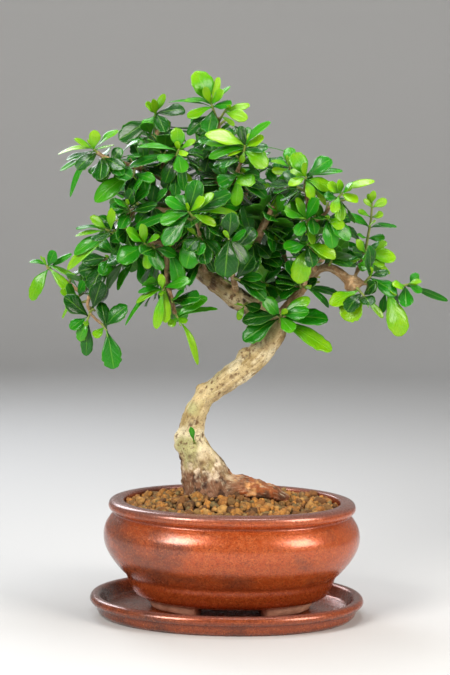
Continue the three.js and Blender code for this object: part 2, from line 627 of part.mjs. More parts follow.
  centre_back: { twig: [[250, 186, 44], [250, 173, 46]], leaves: [], more: 8 },
  centre_back_low: { twig: [[253, 236, 27], [262, 226, 40]], leaves: [], more: 8 },
};

// Vectors as plain arrays.
const add = (a, b) => [a[0] + b[0], a[1] + b[1], a[2] + b[2]];
const sub = (a, b) => [a[0] - b[0], a[1] - b[1], a[2] - b[2]];
const scale = (a, k) => [a[0] * k, a[1] * k, a[2] * k];
const dot = (a, b) => a[0] * b[0] + a[1] * b[1] + a[2] * b[2];
const cross = (a, b) => [a[1] * b[2] - a[2] * b[1], a[2] * b[0] - a[0] * b[2], a[0] * b[1] - a[1] * b[0]];
const size = (a) => Math.sqrt(dot(a, a));
const unit = (a) => scale(a, 1 / size(a));
const mix = (a, b, t) => add(scale(a, 1 - t), scale(b, t));
const radians = (degrees) => (degrees * Math.PI) / 180;

// The camera's three directions.
const pitch = radians(CAMERA.pitch);
const roll = radians(CAMERA.roll);
const FORWARD = [0, Math.cos(pitch), -Math.sin(pitch)];
const LEVEL_UP = [0, Math.sin(pitch), Math.cos(pitch)];
const RIGHT = add(scale([1, 0, 0], Math.cos(roll)), scale(LEVEL_UP, Math.sin(roll)));
const UP = sub(scale(LEVEL_UP, Math.cos(roll)), scale([1, 0, 0], Math.sin(roll)));

// The point that a place in the photograph shows, at a depth along +Y.
function spot([across, down, depth]) {
  const sideways = scale(RIGHT, (across - CAMERA.across) / CAMERA.focal);
  const upward = scale(UP, (CAMERA.down - down) / CAMERA.focal);
  const ray = add(FORWARD, add(sideways, upward));
  const reach = (depth - CAMERA.y) / ray[1];
  return add([CAMERA.x, CAMERA.y, CAMERA.z], scale(ray, reach));
}

// A seeded draw from 0 to 1, the same for the same two whole numbers.
function draw(seed, turn) {
  const mixed = (seed * 7919 + turn * 104729 + 12345) % 65536;
  const next = (mixed * 25173 + 13849) % 65536;
  return ((next * 25173 + 13849) % 65536) / 65536;
}

// A smooth curve (Catmull-Rom) through stations of [x, y, z, radius], with steps to each.
function smooth(stations, steps) {
  const line = [];
  const last = stations.length - 1;
  for (let i = 0; i < last; i += 1) {
    const a = stations[Math.max(i - 1, 0)];
    const b = stations[i];
    const c = stations[i + 1];
    const d = stations[Math.min(i + 2, last)];
    for (let s = 0; s < steps; s += 1) {
      const t = s / steps;
      line.push(b.map((value, k) => {
        const pull = (c[k] - a[k]) * t + (2 * a[k] - 5 * b[k] + 4 * c[k] - d[k]) * t * t;
        return value + 0.5 * (pull + (3 * b[k] - a[k] - 3 * c[k] + d[k]) * t * t * t);
      }));
    }
  }
  line.push(stations[last]);
  return line;
}

// A closed solid from rings of equal length, capped at both ends.
function skin(rings) {
  const count = rings[0].length;
  const points = rings.flat();
  const faces = [];
  for (let r = 0; r + 1 < rings.length; r += 1) {
    for (let k = 0; k < count; k += 1) {
      const a = r * count + k;
      const b = r * count + ((k + 1) % count);
      faces.push([a, b, b + count], [a, b + count, a + count]);
    }
  }
  const top = (rings.length - 1) * count;
  for (let k = 1; k + 1 < count; k += 1) {
    faces.push([0, k + 1, k], [top, top + k, top + k + 1]);
  }
  return solid(points, faces);
}

function solid(points, faces) {
  const mesh = new wasm.Mesh({
    numProp: 3,
    vertProperties: new Float32Array(points.flat()),
    triVerts: new Uint32Array(faces.flat()),
  });
  return new wasm.Manifold(mesh);
}

// A round-sided tube along stations of [x, y, z, radius].
function tube(stations, sides, grow = 0) {
  const rings = [];
  let across = null;
  stations.forEach((station, i) => {
    const before = stations[Math.max(i - 1, 0)];
    const after = stations[Math.min(i + 1, stations.length - 1)];
    const along = unit(sub(after, before));
    const guess = across ?? (Math.abs(along[2]) < 0.9 ? [0, 0, 1] : [1, 0, 0]);
    across = unit(sub(guess, scale(along, dot(guess, along))));
    const other = cross(along, across);
    const end = i === 0 ? -grow : i === stations.length - 1 ? grow : 0;
    const middle = add(station, scale(along, end));
    const ring = [];
    for (let k = 0; k < sides; k += 1) {
      const angle = (2 * Math.PI * k) / sides;
      const out = add(scale(across, Math.cos(angle)), scale(other, Math.sin(angle)));
      ring.push(add(middle, scale(out, station[3] + grow)));
    }
    rings.push(ring);
  });
  return skin(rings);
}

const ball = (centre, radius, sides) => wasm.Manifold.sphere(radius, sides).translate(centre);

// Wood: a limb's stations in millimetres, and all the limbs and knots as one solid.
const stationsOf = (limb) => limb.map((place) => [...spot(place), place[3]]);
const LIMB_LINES = Object.entries(LIMBS).map(([name, limb]) => ({
  line: smooth(stationsOf(limb), 1),
  sides: { trunk: 10, surface_root: 8 }[name] ?? (limb[0][3] > 4.2 ? 6 : 5),
}));

function wood(grow) {
  const tubes = LIMB_LINES.map(({ line, sides }) => tube(line, sides, grow));
  const knots = KNOTS.map((place) => ball(spot(place), place[3] + grow, 8));
  return wasm.Manifold.union([...tubes, ...knots]);
}

// A leaf's frame: it runs from foot to tip, arches by bend and faces along out.
function leafFrame(foot, tip, facing, width, bend) {
  const chord = sub(tip, foot);
  const straight = unit(chord);
  const out = unit(sub(facing, scale(straight, dot(facing, straight))));
  const angle = Math.atan(bend);
  const along = add(scale(straight, Math.cos(angle)), scale(out, Math.sin(angle)));
  const normal = sub(scale(out, Math.cos(angle)), scale(straight, Math.sin(angle)));
  const side = cross(along, normal);
  const length = size(chord) * Math.cos(angle);
  return { foot, along, normal, side, length, width, bend };
}

// A point of the blade: u runs from foot to tip, v is in millimetres to the side.
function bladePoint(leaf, u, v) {
  const arch = -leaf.bend * leaf.length * u * u;
  const onMidrib = add(leaf.foot, add(scale(leaf.along, leaf.length * u), scale(leaf.normal, arch)));
  return add(onMidrib, scale(leaf.side, v));
}

// The blade's half width at u, as a share of the whole: a wedge foot and a broad end.
const wedge = (u) => 0.45 + 0.55 * Math.min(u / 0.5, 1);
const share = (u) => Math.max(Math.sin(Math.PI * Math.min(u, 1) ** 1.65), 0) ** 0.55 * wedge(u);

// The blade's outline: [u, share of the half width], with a tooth near a broad tip.
const BROAD = [[0.38, 0.64], [0.68, 1], [0.84, 0.8], [0.94, 0.74]];
const MIDDLING = [[0.4, 0.66], [0.72, 1], [0.93, 0.68]];
const NARROW = [[0.42, 0.68], [0.84, 0.94]];
const SMALL = [[0.74, 1]];
const outlineOf = (width) => (width > 15 ? BROAD : width > 12.2 ? MIDDLING : width > 5.5 ? NARROW : SMALL);

// A twig has four sides. Each side of each stretch, and its end, is a slot that one leaf
// can grow from: {corners, centre, outward, at}, at being how far along the twig it is.
function twigOf(line, stretches) {
  const rings = [];
  let across = [0, 0, 1];
  const axis = unit(sub(line[line.length - 1], line[0]));
  for (let i = 0; i <= stretches; i += 1) {
    const at = i / stretches;
    const place = Math.min(Math.floor(at * (line.length - 1)), line.length - 2);
    const middle = mix(line[place], line[place + 1], at * (line.length - 1) - place);
    const radius = 1.2 * (STEM_RADIUS[0] * (1 - at) + STEM_RADIUS[1] * at);
    across = unit(sub(across, scale(axis, dot(across, axis))));
    const other = cross(axis, across);
    const ring = [];
    for (let k = 0; k < 4; k += 1) {
      const angle = Math.PI * (0.25 + 0.5 * k);
      const out = add(scale(across, Math.cos(angle)), scale(other, Math.sin(angle)));
      ring.push(add(middle, scale(out, radius)));
    }
    rings.push(ring);
  }
  const slots = [];
  for (let i = 0; i < stretches; i += 1) {
    for (let k = 0; k < 4; k += 1) {
      const next = (k + 1) % 4;
      const corners = [[i, k], [i, next], [i + 1, next], [i + 1, k]];
      slots.push({ corners, at: (i + 0.5) / stretches, free: i > 0 });
    }
  }
  slots.push({ corners: [0, 1, 2, 3].map((k) => [stretches, k]), at: 1, free: true, end: true });
  for (const slot of slots) {
    const points = slot.corners.map(([i, k]) => rings[i][k]);
    slot.centre = scale(points.reduce(add), 0.25);
    const flat = cross(sub(points[2], points[0]), sub(points[3], points[1]));
    slot.outward = unit(flat);
  }
  return { rings, slots };
}

// The free slot that best suits a leaf which grows from foot to tip.
function bestSlot(slots, foot, tip) {
  const heading = unit(sub(tip, foot));
  let best = null;
  let most = -Infinity;
  for (const slot of slots) {
    const value = Math.min(dot(slot.outward, heading), 0.8) - 0.05 * size(sub(slot.centre, foot));
    if (slot.free && value > most) {
      best = slot;
      most = value;
    }
  }
  return best;
}

// The spray as one closed skin: the twig, with each leaf drawn out of its slot.
function grow({ rings, slots }, leaves) {
  const points = rings.flat();
  const faces = [[0, 2, 1], [0, 3, 2]];
  // A twisted face is split along its ridge, which keeps the wall round it open.
  const quad = (a, b, c, d) => {
    const out = cross(sub(points[b], points[a]), sub(points[c], points[a]));
    const ridge = dot(out, sub(points[d], points[a])) < 0;
    faces.push(...(ridge ? [[a, b, c], [a, c, d]] : [[b, c, d], [b, d, a]]));
  };
  for (const slot of slots) {
    const foot = slot.corners.map(([i, k]) => i * 4 + k);
    const leaf = leaves.find((one) => one.slot === slot);
    if (!leaf) {
      quad(...foot);
      continue;
    }
    const outline = outlineOf(leaf.width);
    const lift = scale(leaf.normal, LEAF_THICK / 2);
    let below = foot;
    outline.forEach(([u, wide], i) => {
      const v = 0.5 * wide * leaf.width;
      const left = bladePoint(leaf, u, -v);
      const right = bladePoint(leaf, u, v);
      const ring = [add(left, lift), add(right, lift), sub(right, lift), sub(left, lift)];
      if (i === 0) {
        const apart = (turn) => (sum, point, k) => sum + size(sub(points[foot[(k + turn) % 4]], point));
        const cost = (turn) => ring.reduce(apart(turn), 0);
        const turn = [0, 1, 2, 3].reduce((least, one) => (cost(one) < cost(least) ? one : least), 0);
        below = [0, 1, 2, 3].map((k) => foot[(k + turn) % 4]);
      }
      const above = [0, 1, 2, 3].map((k) => points.length + k);
      points.push(...ring);
      for (let k = 0; k < 4; k += 1) {
        const next = (k + 1) % 4;
        quad(below[k], below[next], above[next], above[k]);
      }
      below = above;
    });
    const end = bladePoint(leaf, 1, 0);
    const [top, bottom] = [points.length, points.length + 1];
    points.push(add(end, lift), sub(end, lift));
    faces.push([below[0], below[1], top], [below[2], below[3], bottom]);
    quad(below[1], below[2], bottom, top);
    quad(below[3], below[0], top, bottom);
  }
  return solid(points, faces);
}

// Where leaves grow. A leaf from the table reaches its place in the photograph, and
// leans to the camera or away by what its full length leaves over.
const fullLength = (width) => 1.15 * width + 10;

function shownLeaf(row, { line, slots }, number, step) {
  const [footAcross, footDown, tipAcross, tipDown, width, lean, age, turn, arch] = row;
  const middle = line[line.length >> 1];
  const wanted = spot([footAcross, footDown, middle[1]]);
  const foot = nearest(line, wanted);
  const flat = spot([tipAcross, tipDown, foot[1]]);
  const seen = size(sub(flat, foot));
  const full = width < 6 ? 2 * width : fullLength(width);
  const spare = Math.sqrt(Math.max(full ** 2 - seen ** 2, 4));
  const wiggle = TRY_DEPTH[step];
  const tip = spot([tipAcross, tipDown, foot[1] - lean * spare + wiggle]);
  const facing = add(scale([0, -1, 0], 0.75), [0.16 * (draw(number, 1) - 0.5), 0, 0.62]);
  const bend = arch ?? 0.12 + 0.26 * draw(number, 2);
  const edgeOn = tipAcross < footAcross ? turn : -turn;
  const rolled = spin(facing, unit(sub(tip, foot)), radians(edgeOn + TRY_ROLL[step]));
  return slotted(slots, foot, tip, rolled, width, bend, age);
}

function slotted(slots, foot, tip, facing, width, bend, age) {
  const slot = bestSlot(slots, foot, tip);
  return { ...leafFrame(slot.centre, tip, facing, width, bend), age, slot };
}

// A leaf by the rule: they follow one another round the twig by the golden angle, and
// turn from square to the twig at its foot to along it at its tip.
const GOLDEN = 137.508;

function ruledLeaf({ line, slots }, index, count, number, step) {
  const at = 1 - (index + 0.3) / count;
  const place = Math.min(Math.floor(at * (line.length - 1)), line.length - 2);
  const foot = mix(line[place], line[place + 1], at * (line.length - 1) - place);
  const axis = unit(sub(line[line.length - 1], line[0]));
  const across = unit(cross(axis, Math.abs(axis[2]) < 0.9 ? [0, 0, 1] : [1, 0, 0]));
  const round = radians(GOLDEN * index + 360 * draw(number, 3) + 41 * step);
  const open = radians(38 + 52 * (1 - at) + 14 * draw(number, 4));
  const outward = spin(across, axis, round);
  const away = add(scale(axis, Math.cos(open)), scale(outward, Math.sin(open)));
  const width = 9 + 6.5 * draw(number, 5);
  const heading = unit(add(away, [0, 0, 0.18]));
  const tip = add(foot, scale(heading, fullLength(width) * (0.8 + 0.22 * draw(number, 6))));
  const facing = add(scale(axis, 0.7), [0, 0, 0.8]);
  const bend = 0.12 + 0.26 * draw(number, 2);
  return slotted(slots, foot, tip, facing, width, bend, 0.15 + 0.6 * draw(number, 7));
}

function nearest(line, point) {
  let best = line[0];
  let least = Infinity;
  for (let i = 0; i + 1 < line.length; i += 1) {
    const along = sub(line[i + 1], line[i]);
    const t = Math.min(Math.max(dot(sub(point, line[i]), along) / dot(along, along), 0.25 * (i === 0)), 1);
    const here = add(line[i], scale(along, t));
    const far = Math.hypot(here[0] - point[0], here[2] - point[2]);
    if (far < least) {
      best = here;
      least = far;
    }
  }
  return best;
}

function spin(vector, axis, angle) {
  const turned = add(scale(vector, Math.cos(angle)), scale(cross(axis, vector), Math.sin(angle)));
  return add(turned, scale(axis, dot(axis, vector) * (1 - Math.cos(angle))));
}

// Tries for a leaf that would cross another spray's leaf or the wood, in turn.
const TRY_DEPTH = [0, -3, 3, -6, 6, -9, 9, -12, 12, -4, 4, -8];
const TRY_ROLL = [0, 0, 0, 12, -12, 0, 0, 15, -15, 35, -35, 50];
const TRIES = TRY_DEPTH.length;

// The grid of samples that stands for a blade in the test for crossings.
const SAMPLES = [];
for (let i = 1; i <= 11; i += 1) {
  for (let j = -2; j <= 2; j += 1) {
    SAMPLES.push([0.04 + 0.088 * i, j / 2]);
  }
}

function samplesOf(leaf) {
  return SAMPLES.map(([u, v]) => bladePoint(leaf, u, v * share(u) * 0.5 * leaf.width));
}

// Whether one of the points lies within reach of the leaf's blade.
function pierces(points, leaf, reach) {
  for (const point of points) {
    const from = sub(point, leaf.foot);
    const u = dot(from, leaf.along) / leaf.length;
    if (u < -0.05 || u > 1.05) {
      continue;
    }
    const height = dot(from, leaf.normal) + leaf.bend * leaf.length * u * u;
    if (Math.abs(height) > reach) {
      continue;
    }
    const wide = share(Math.min(Math.max(u, 0.06), 0.97)) * 0.5 * leaf.width + 0.9;
    if (Math.abs(dot(from, leaf.side)) < wide) {
      return true;
    }
  }
  return false;
}

// Whether one of the points lies within reach of a tube along the line.
function touches(points, line, reach) {
  for (let i = 0; i + 1 < line.length; i += 1) {
    const along = sub(line[i + 1], line[i]);
    const long = dot(along, along);
    for (const point of points) {
      const t = Math.min(Math.max(dot(sub(point, line[i]), along) / long, 0), 1);
      const here = add(line[i], scale(along, t));
      if (size(sub(point, here)) < line[i][3] + reach) {
        return true;
      }
    }
  }
  return false;
}

// Lays out every spray's leaves: those from the table first, then those by the rule.
function layOut() {
  const sprays = Object.entries(SPRAYS).map(([name, { twig, leaves, more }], order) => {
    const stations = twig.map((place, i) => {
      const t = i / (twig.length - 1);
      return [...spot(place), STEM_RADIUS[0] * (1 - t) + STEM_RADIUS[1] * t];
    });
    const line = smooth(stations, 3);
    const stretches = 2 + Math.ceil((leaves.length + more - 1) / 3);
    return { name, order, line, ...twigOf(line, stretches), rows: leaves, more, leaves: [] };
  });
  const settle = (spray, make, number) => {
    for (let step = 0; step < TRIES; step += 1) {
      const leaf = make(step);
      const points = samplesOf(leaf);
      const outer = points.slice(5);
      const blocked = LIMB_LINES.some(({ line }) => touches(outer, line, 1.1))
        || sprays.some((other) => other !== spray && touches(points, other.line, 1))
        || sprays.some((other) => other.leaves.some((rival) => {
          const own = other === spray;
          return pierces(own ? points.slice(10) : points, rival, own ? 0.9 : 1.5)
            || pierces(own ? rival.points.slice(10) : rival.points, leaf, own ? 0.9 : 1.5);
        }));
      if (!blocked) {
        spray.leaves.push({ ...leaf, points, number });
        leaf.slot.free = false;
        return true;
      }
    }
    return false;
  };
  for (const spray of sprays) {
    spray.rows.forEach((row, i) => {
      const number = spray.order * 32 + i;
      settle(spray, (step) => shownLeaf(row, spray, number, step), number);
    });
  }
  for (const spray of sprays) {
    for (let i = 0; i < spray.more; i += 1) {
      const number = spray.order * 32 + 16 + i;
      settle(spray, (step) => ruledLeaf(spray, i, spray.more, number, step), number);
    }
  }
  return sprays;
}

// The largest of a solid's separate bodies, its points rounded to a thousandth.
function largest(made) {
  const mesh = made.getMesh();
  mesh.vertProperties = mesh.vertProperties.map((value) => Math.round(value * 1000) / 1000);
  const bodies = new wasm.Manifold(mesh).decompose();
  bodies.sort((a, b) => b.volume() - a.volume());
  return bodies[0];
}

// Pottery: ovals (superellipses) stacked into a shell.
function oval([halfLength, halfWidth, height], centre) {
  const ring = [];
  for (let k = 0; k < OVAL_SIDES; k += 1) {
    const angle = (2 * Math.PI * (k + 0.5)) / OVAL_SIDES;
    const c = Math.cos(angle);
    const s = Math.sin(angle);
    const x = halfLength * Math.sign(c) * Math.abs(c) ** 0.95;
    const y = halfWidth * Math.sign(s) * Math.abs(s) ** 0.95;
    ring.push([centre + x, y, height]);
  }
  return ring;
}

const turned = (ovals, centre) => skin(ovals.map((row) => oval(row, centre)));
const rod = (x, y, low, high, radius, sides) =>
  wasm.Manifold.cylinder(high - low, radius, radius, sides).translate([x, y, low]);
const box = (x, y, z, width, depth, height) =>
  wasm.Manifold.cube([width, depth, height], true).translate([x, y, z]);

function pads() {
  const low = SAUCER_FLOOR + GAP;
  const high = SAUCER_FLOOR + PAD_HEIGHT + 1;
  const ring = wasm.Manifold.union([turned([[64.5, 44, low], [70.5, 50, high]], POT_X)])
    .subtract(turned([[55, 35, low - 1], [55, 35, high + 1]], POT_X));
  const long = box(POT_X, 0, (low + high) / 2, 58, 200, high - low + 4);
  const wide = box(POT_X, 0, (low + high) / 2, 400, 46, high - low + 4);
  return ring.subtract(long).subtract(wide);
}

function pot() {
  const body = turned(POT_OVALS, POT_X);
  const holes = [-1, 1].map((side) => rod(POT_X + side * SCREEN.x, 0, 10, POT_FLOOR + 1, DRAIN_RADIUS, 16));
  return wasm.Manifold.union([body, pads()]).subtract(wasm.Manifold.union(holes));
}

// A drainage screen: a square of plastic mesh that lies over a hole in the pot's floor.
function screen(side) {
  const x = POT_X + side * SCREEN.x;
  const z = POT_FLOOR + GAP + SCREEN.thick / 2;
  const holes = [];
  for (const i of [-0.5, 0.5]) {
    for (const j of [-0.5, 0.5]) {
      holes.push(box(x + i * SCREEN.pitch, j * SCREEN.pitch, z, SCREEN.hole, SCREEN.hole, 4));
    }
  }
  return box(x, 0, z, SCREEN.side, SCREEN.side, SCREEN.thick).subtract(wasm.Manifold.union(holes));
}

// The soil fills the pot and rises from its edge to the trunk and to the back.
function soilHeight(x, y) {
  const near = Math.exp(-(((x + 9) / 38) ** 2) - ((y - 3) / 34) ** 2);
  return 88.6 + 11 * near + 2 * Math.exp(-(((x - 55) / 26) ** 2) - ((y - 30) / 18) ** 2);
}

function soil(plantSpace) {
  const shrunk = ([a, b, z]) => [a - GAP, b - GAP, z + (z === POT_FLOOR ? GAP : 0)];
  const inside = turned(CAVITY_OVALS.map(shrunk), POT_X);
  const half = { x: 96, y: 72 };
  const columns = Math.round((2 * half.x) / GRAIN.pitch);
  const rows = Math.round((2 * half.y) / GRAIN.pitch);
  const points = [];
  for (let j = 0; j <= rows; j += 1) {
    for (let i = 0; i <= columns; i += 1) {
      const number = j * (columns + 1) + i;
      const edge = i === 0 || j === 0 || i === columns || j === rows ? 0 : GRAIN.jitter;
      const x = -half.x + (2 * half.x * i) / columns + edge * 2 * (draw(number, 1) - 0.5) + POT_X;
      const y = -half.y + (2 * half.y * j) / rows + edge * 2 * (draw(number, 2) - 0.5);
      const bump = GRAIN.lift * (((i + j) % 2) * 1.4 - 0.7 + 0.9 * (draw(number, 3) - 0.5));
      points.push([x, y, soilHeight(x, y) + bump]);
    }
  }
  const wide = columns + 1;
  const count = points.length;
  const lower = points.map(([x, y]) => [x, y, 20]);
  const faces = [];
  for (let j = 0; j < rows; j += 1) {
    for (let i = 0; i < columns; i += 1) {
      const a = j * wide + i;
      faces.push([a, a + 1, a + wide + 1], [a, a + wide + 1, a + wide]);
      const b = count + a;
      faces.push([b, b + wide + 1, b + 1], [b, b + wide, b + wide + 1]);
    }
  }
  const rimWalk = [];
  for (let i = 0; i < columns; i += 1) rimWalk.push(i);
  for (let j = 0; j < rows; j += 1) rimWalk.push(j * wide + columns);
  for (let i = columns; i > 0; i -= 1) rimWalk.push(rows * wide + i);
  for (let j = rows; j > 0; j -= 1) rimWalk.push(j * wide);
  rimWalk.forEach((a, k) => {
    const b = rimWalk[(k + 1) % rimWalk.length];
    faces.push([a, count + a, count + b], [a, count + b, b]);
  });
  const mound = solid([...points, ...lower], faces);
  const screens = [-1, 1].map((side) => box(
    POT_X + side * SCREEN.x, 0, POT_FLOOR + 2,
    SCREEN.side + 2 * GAP, SCREEN.side + 2 * GAP, 4 + 2 * SCREEN.thick,
  ));
  return mound.intersect(inside).subtract(plantSpace).subtract(wasm.Manifold.union(screens));
}

// The assembly.
const part = new THREE.Group();
part.name = "fukien_tea_bonsai";

function place(name, made) {
  const mesh = made.getMesh();
  const geometry = new THREE.BufferGeometry();
  const points = [];
  for (let i = 0; i < mesh.numVert; i += 1) {
    points.push(...mesh.vertProperties.slice(i * mesh.numProp, i * mesh.numProp + 3));
  }
  geometry.setAttribute("position", new THREE.Float32BufferAttribute(points, 3));
  geometry.setIndex([...mesh.triVerts]);
  const node = new THREE.Mesh(mergeVertices(geometry));
  node.name = name;
  part.add(node);
  return made;
}

const tree = largest(wood(0).simplify(FINE));
const treeSpace = wood(GAP + FINE);
place("saucer", turned(SAUCER_OVALS, 0));
place("pot", pot());
place("drain_screen_left", screen(-1));
place("drain_screen_right", screen(1));
place("soil", largest(soil(treeSpace)));
place("tree", tree);

for (const spray of layOut()) {
  const whole = grow(spray, spray.leaves);
  const clear = largest(largest(whole.subtract(treeSpace)).simplify(0.12));
  place(`spray_${spray.name}`, clear);
}

export default part;
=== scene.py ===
"""Looks of a Fukien tea bonsai in a glazed oval pot on its saucer, round its CAD frame.

The row frame: the origin is the middle of the saucer's flat underside, +Z is up, +X is
to the right and the front faces -Y. Tables and formulas are in millimetres, and meshes
are turned to metres when they are made.
"""

import bmesh
import bpy
import numpy as np
from mathutils import Matrix


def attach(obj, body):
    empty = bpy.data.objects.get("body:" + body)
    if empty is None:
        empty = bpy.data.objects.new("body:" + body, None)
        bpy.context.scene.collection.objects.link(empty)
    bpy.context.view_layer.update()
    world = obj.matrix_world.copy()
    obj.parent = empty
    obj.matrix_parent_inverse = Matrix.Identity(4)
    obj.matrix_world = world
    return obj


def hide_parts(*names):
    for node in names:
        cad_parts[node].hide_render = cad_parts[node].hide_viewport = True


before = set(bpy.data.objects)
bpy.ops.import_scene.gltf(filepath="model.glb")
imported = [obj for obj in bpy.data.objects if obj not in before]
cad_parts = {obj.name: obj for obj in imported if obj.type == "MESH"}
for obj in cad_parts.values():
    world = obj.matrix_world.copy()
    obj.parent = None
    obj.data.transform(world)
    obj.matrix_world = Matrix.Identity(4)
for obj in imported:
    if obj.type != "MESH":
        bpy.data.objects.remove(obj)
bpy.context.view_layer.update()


# The saucer: an oval dish of stoneware, pressed in one piece and glazed all over in a
# coppery orange-brown. It lies flat on the table and carries the pot.
MM = 0.001  # a millimetre in Blender's metres
SAUCER_FLOOR = 6.5  # the height of its inside, one of the CAD part's driving sizes
SIDES = 192  # points round the saucer and the pot
OVAL_STEPS = 5  # rings between two ovals of a profile

# Ovals stacked from the middle of the underside, over the lip, to the middle of the
# inside: [half length, half width, height].
SAUCER_OVALS = [
    [99, 72, 0],
    [102.4, 75.4, 3],
    [104, 77, 8.4],
    [106.6, 79.6, 9.6],
    [108.7, 81.7, 12.4],
    [107.4, 80.4, 15.4],
    [104.4, 77.4, 16.4],
    [101, 74, 15.4],
    [98.2, 71.2, 11],
    [95.5, 68.5, 7.4],
    [92, 65, SAUCER_FLOOR],
]


def noise(points, size, seed=0):
    """Smooth noise from -1 to 1 at each point: random values at the corners of cubes of
    the given size, blended by a smooth step inside each cube."""
    grid = np.asarray(points, float) / size
    cell = np.floor(grid).astype(np.int64)
    t = grid - cell
    t = t * t * (3 - 2 * t)
    total = np.zeros(len(grid))
    for corner in np.ndindex(2, 2, 2):
        lattice = cell + np.array(corner)
        mix = lattice[:, 0] * 73856093 ^ lattice[:, 1] * 19349663 ^ lattice[:, 2] * 83492791
        mix = mix ^ seed * 2654435761
        mix = (mix ^ (mix >> 13)) * 1274126177 & 0xFFFFFFFF
        value = ((mix ^ (mix >> 16)) & 0xFFFF) / 32767.5 - 1
        weight = np.prod(np.where(corner, t, 1 - t), axis=1)
        total += value * weight
    return total


def smooth(stations, steps):
    """A Catmull-Rom curve through the stations, with this many steps to each."""
    stations = np.asarray(stations, float)
    last = len(stations) - 1
    line = []
    for i in range(last):
        a, b = stations[max(i - 1, 0)], stations[i]
        c, d = stations[i + 1], stations[min(i + 2, last)]
        for s in range(steps):
            t = s / steps
            pull = (c - a) * t + (2 * a - 5 * b + 4 * c - d) * t * t
            line.append(b + 0.5 * (pull + (3 * b - a - 3 * c + d) * t**3))
    line.append(stations[last])
    return np.array(line)


# A noise's settings: patches per metre, so that 200 gives patches of 5 mm, how many finer
# noises lie on it, and how strong they are.
PATTERN = ("Scale", "Detail", "Roughness")


def linear(code):
    """An sRGB hex code such as "#a0b0c0" as linear red, green, blue and an alpha of 1."""
    parts = np.array([int(code[i : i + 2], 16) / 255 for i in (1, 3, 5)])
    low = parts / 12.92
    high = ((parts + 0.055) / 1.055) ** 2.4
    return (*np.where(parts <= 0.04045, low, high), 1.0)


def material(name, **settings):
    """A new material with a Principled shader that has these socket values."""
    made = bpy.data.materials.new(name)
    made.use_nodes = True
    shader = made.node_tree.nodes["Principled BSDF"]
    for socket, value in settings.items():
        shader.inputs[socket.replace("_", " ")].default_value = value
    return made, shader


def node(made, kind, values, out=0, stops=(), **settings):
    """Adds a node and gives its output of this name or number, or a slice of them. values
    gives sockets an output, a number, a vector or an sRGB hex code, settings are the
    node's own properties, and stops are the (place, hex code) pairs of a colour ramp."""
    added = made.node_tree.nodes.new("ShaderNode" + kind)
    for name, value in settings.items():
        setattr(added, name, value)
    for socket, value in values.items():
        if isinstance(value, bpy.types.NodeSocket):
            made.node_tree.links.new(value, added.inputs[socket])
        else:
            added.inputs[socket].default_value = linear(value) if isinstance(value, str) else value
    if stops:
        ramp = added.color_ramp.elements
        while len(ramp) < len(stops):
            ramp.new(0.5)
        for element, (place, code) in zip(ramp, stops):
            element.position = place
            element.color = linear(code)
    return added.outputs[out]


def painted(made, body, *layers):
    """Lays colours over a body one after another. A layer (value, low, high, most, code)
    shows its colour by none where the value is low, and by most where it is high."""
    for value, low, high, most, code in layers:
        factor = node(made, "MapRange", {0: value, 1: low, 2: high, 3: 0, 4: most})
        body = node(made, "Mix", {0: factor, 6: body, 7: code}, 2, data_type="RGBA")
    return body


def several(made, kind, sockets, rows, **shared):
    """Adds a node for each row of values for these sockets, and gives all their outputs."""
    return [node(made, kind, {**dict(zip(sockets, row)), **shared}) for row in rows]


def surfaced(made, shader, body, height, distance, strength):
    """Gives the shader its colour and a fine relief, whose distance is in metres."""
    relief = {"Height": height, "Distance": distance, "Strength": strength}
    made.node_tree.links.new(body, shader.inputs["Base Color"])
    made.node_tree.links.new(node(made, "Bump", relief), shader.inputs["Normal"])
    return made


def glaze(name, thick, thin, dark):
    """A coppery kiln glaze on clay: orange-brown with a fine dark grain, browner where the
    fire left it dull, deep red at the foot, greyed at the lip partly as a painted reflection,
    and darker in its grooves as painted shade. The piece's attribute "clay" holds: red, how
    near the lip; green, how far into a groove; blue, the foot."""
    settings = {"Coat_Weight": 0.4, "Coat_Roughness": 0.14, "Metallic": 0.3}
    made, shader = material(name, Specular_IOR_Level=0.6, **settings)
    clay = node(made, "Attribute", {}, "Color", attribute_name="clay")
    edge, groove, low = node(made, "SeparateColor", {0: clay}, slice(3))
    place = node(made, "TexCoord", {}, "Object")
    across = node(made, "SeparateXYZ", {0: place})
    left = node(made, "MapRange", {0: across, 1: -0.1, 2: 0.04, 3: 0.2, 4: -0.06})
    flat = node(made, "Mapping", {0: place, "Scale": (1, 1, 1.5)})
    fired = node(made, "TexNoise", {"Vector": flat, "Scale": 26, "Detail": 4, "Roughness": 0.6})
    patches = node(made, "Math", {0: fired, 1: left}, operation="ADD")
    sizes = ((190, 5, 0.7), (1100, 3, 0.6), (60, 2, 0.4), (700, 3, 0.5))
    mottle, speckle, waves, pits = several(made, "TexNoise", PATTERN, sizes, Vector=place)
    body = painted(
        made,
        thick,
        (mottle, 0.4, 0.8, 0.6, thin),
        (patches, 0.5, 0.74, 0.9, dark),
        (low, 0, 1, 1, "#9a3e16"),
        (speckle, 0.52, 0.64, 0.75, "#5a200a"),
        (speckle, 0.46, 0.34, 0.45, "#e0864c"),
        # painted shade: the glaze is darker in the grooves, where shade falls
        (groove, 0.1, 0.9, 0.6, "#7c3016"),
        # the grey-brown lip: partly the glaze's colour, partly a painted reflection on its top
        (edge, 0.1, 0.9, 0.85, "#7e564e"),
    )
    gloss = node(made, "MapRange", {0: mottle, 1: 0.3, 2: 0.75, 3: 0.2, 4: 0.34})
    made.node_tree.links.new(gloss, shader.inputs["Roughness"])
    height = node(made, "Math", {0: waves, 1: pits}, operation="ADD")
    return surfaced(made, shader, body, height, 0.0006, 0.3)


